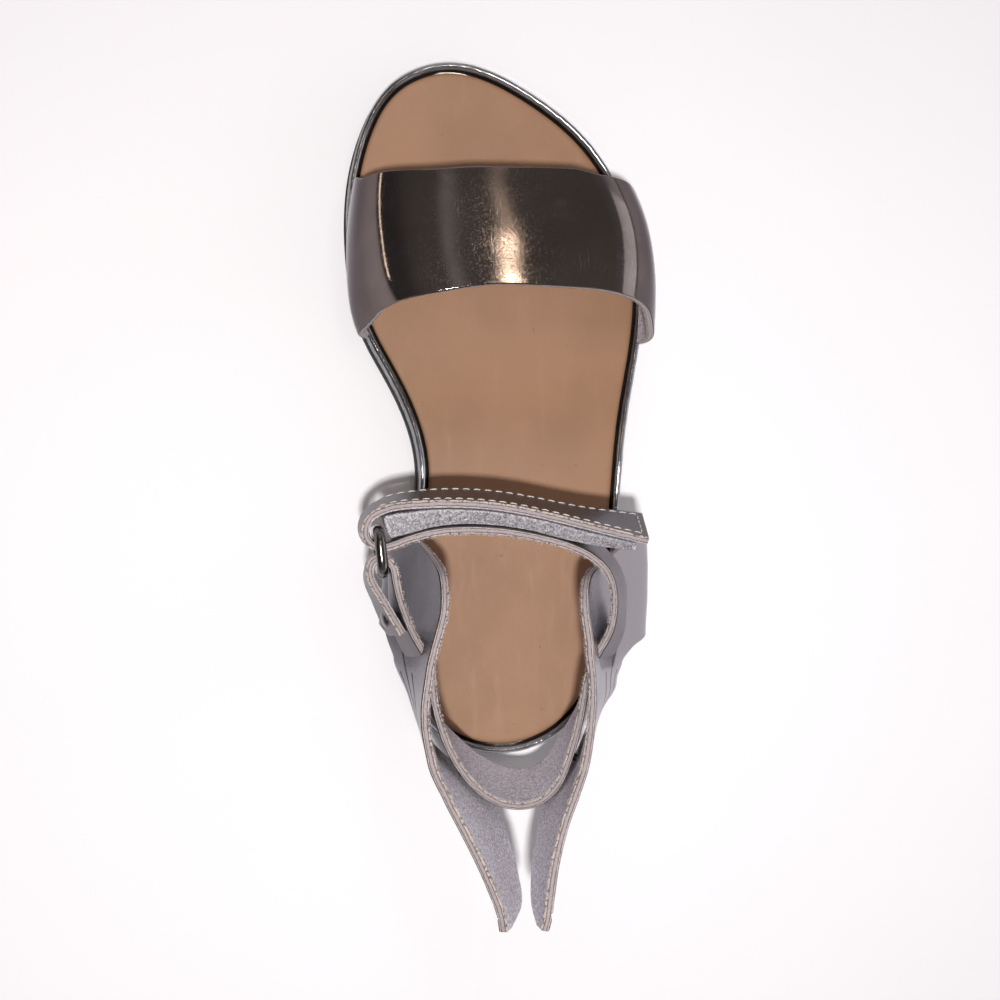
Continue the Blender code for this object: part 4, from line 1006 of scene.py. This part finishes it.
studio = dict(
    cameraAt=(-36.7, 49.05, 300.0), aimAt=(-4.0, 51.0, 20.0), lens=44.1 * 1.2,
    floor=(0.93, 0.92, 0.95), floorPale=(0.95, 0.94, 0.965), leftShade=(0.07, 0.065, 0.07),
    sky=(  # height, colour
        (0.0, (0.95, 0.93, 0.97)), (0.25, (0.75, 0.73, 0.78)), (0.48, (0.26, 0.25, 0.28)),
        (0.7, (0.20, 0.18, 0.17)),
    ),
    lamps=(  # name, place, aim, size across and along, power, colour
        ("key", (-43.0, 15.0, 395.0), (-5.0, 50.0, 20.0), (14.0, 14.0), 1.27, (1.0, 0.98, 0.96)),
        ("fill", (-20.0, 640.0, 560.0), (-5.0, 60.0, 20.0), (300.0, 300.0), 0.3, (0.97, 0.95, 1.0)),
        ("right", (330.0, 60.0, 110.0), (0.0, 60.0, 20.0), (170.0, 420.0), 0.24, (0.96, 0.96, 1.0)),
        ("glint", (22.0, 125.0, 310.0), (-4.0, 92.0, 37.0), (7.5, 30.0), 0.030, (1.0, 0.83, 0.64)),
        ("glintGlow", (21.0, 150.0, 310.0), (-4.0, 97.0, 37.0), (8.0, 20.0), 0.0018, (1.0, 0.80, 0.62)),
        ("glintTail", (20.0, 175.0, 310.0), (-4.0, 105.0, 37.0), (11.0, 30.0), 0.0009, (1.0, 0.80, 0.66)),
        ("haze", (-36.0, 140.0, 310.0), (-17.0, 98.0, 37.0), (18.0, 80.0), 0.0018, (1.0, 0.93, 0.90)),
        ("side", (-330.0, 150.0, 60.0), (-30.0, 98.0, 30.0), (20.0, 240.0), 0.09, (1.0, 0.84, 0.68)),
    ),
)


def inRow(point):  # shoe layout in mm to the row frame in metres
    return (np.array(point) + rowShift) * mm


def aimed(obj, at, target):  # stands at a point and looks at another, with +y up in the picture
    obj.location = inRow(at)
    forward = unit(np.array(target, float) - np.array(at, float))
    right = unit(np.cross(forward, (0.0, 1.0, 0.0)))
    turnRows = np.stack([right, np.cross(right, forward), -forward], -1)
    obj.rotation_euler = Matrix(turnRows.tolist()).to_euler()


def addLight(name, at, target, size, power, colour):
    lamp = bpy.data.lights.new(name, "AREA")
    lamp.shape, lamp.size, lamp.size_y = "RECTANGLE", size[0] * mm, size[1] * mm
    lamp.energy, lamp.color = power, colour
    made = added(name, lamp)
    aimed(made, at, target)
    made.visible_camera = False


camera = added("camera", bpy.data.cameras.new("camera"))
camera.data.lens, camera.data.sensor_width = studio["lens"], 36.0
camera.data.clip_start, camera.data.clip_end = 0.01, 20.0
aimed(camera, studio["cameraAt"], studio["aimAt"])
scene.camera = camera

for lamp in studio["lamps"]:
    addLight(*lamp)

world = bpy.data.worlds.new("studio")
scene.world = world
world.use_nodes = True
sky = Wire(world.node_tree)
toSky = sky.add("TexCoord", out="Generated")
side, height = (sky.add("SeparateXYZ", None, {0: toSky}, out=axis) for axis in "XZ")
room = sky.add("ValToRGB", {"stops": studio["sky"]}, {0: height})
shade = side.between(-0.25, -0.85).colour(room, studio["leftShade"])
sky.feed(world.node_tree.nodes["Background"].inputs["Color"], shade)

floorMesh = bpy.data.meshes.new("floor")
floorMesh.from_pydata([(-2, -2, 0), (2, -2, 0), (2, 2, 0), (-2, 2, 0)], [], [(0, 1, 2, 3)])
floorPaint, wire = startFinish("pale_floor")
mottle = wire.noise(30.0, 3.0)
endFinish(floorPaint, baseColor=mottle.colour(studio["floor"], studio["floorPale"]),
          roughness=0.7 + mottle * 0.1)
floorMesh.materials.append(floorPaint)
floor = added("floor", floorMesh)
scene.view_settings.view_transform = "Standard"
print("studio done")
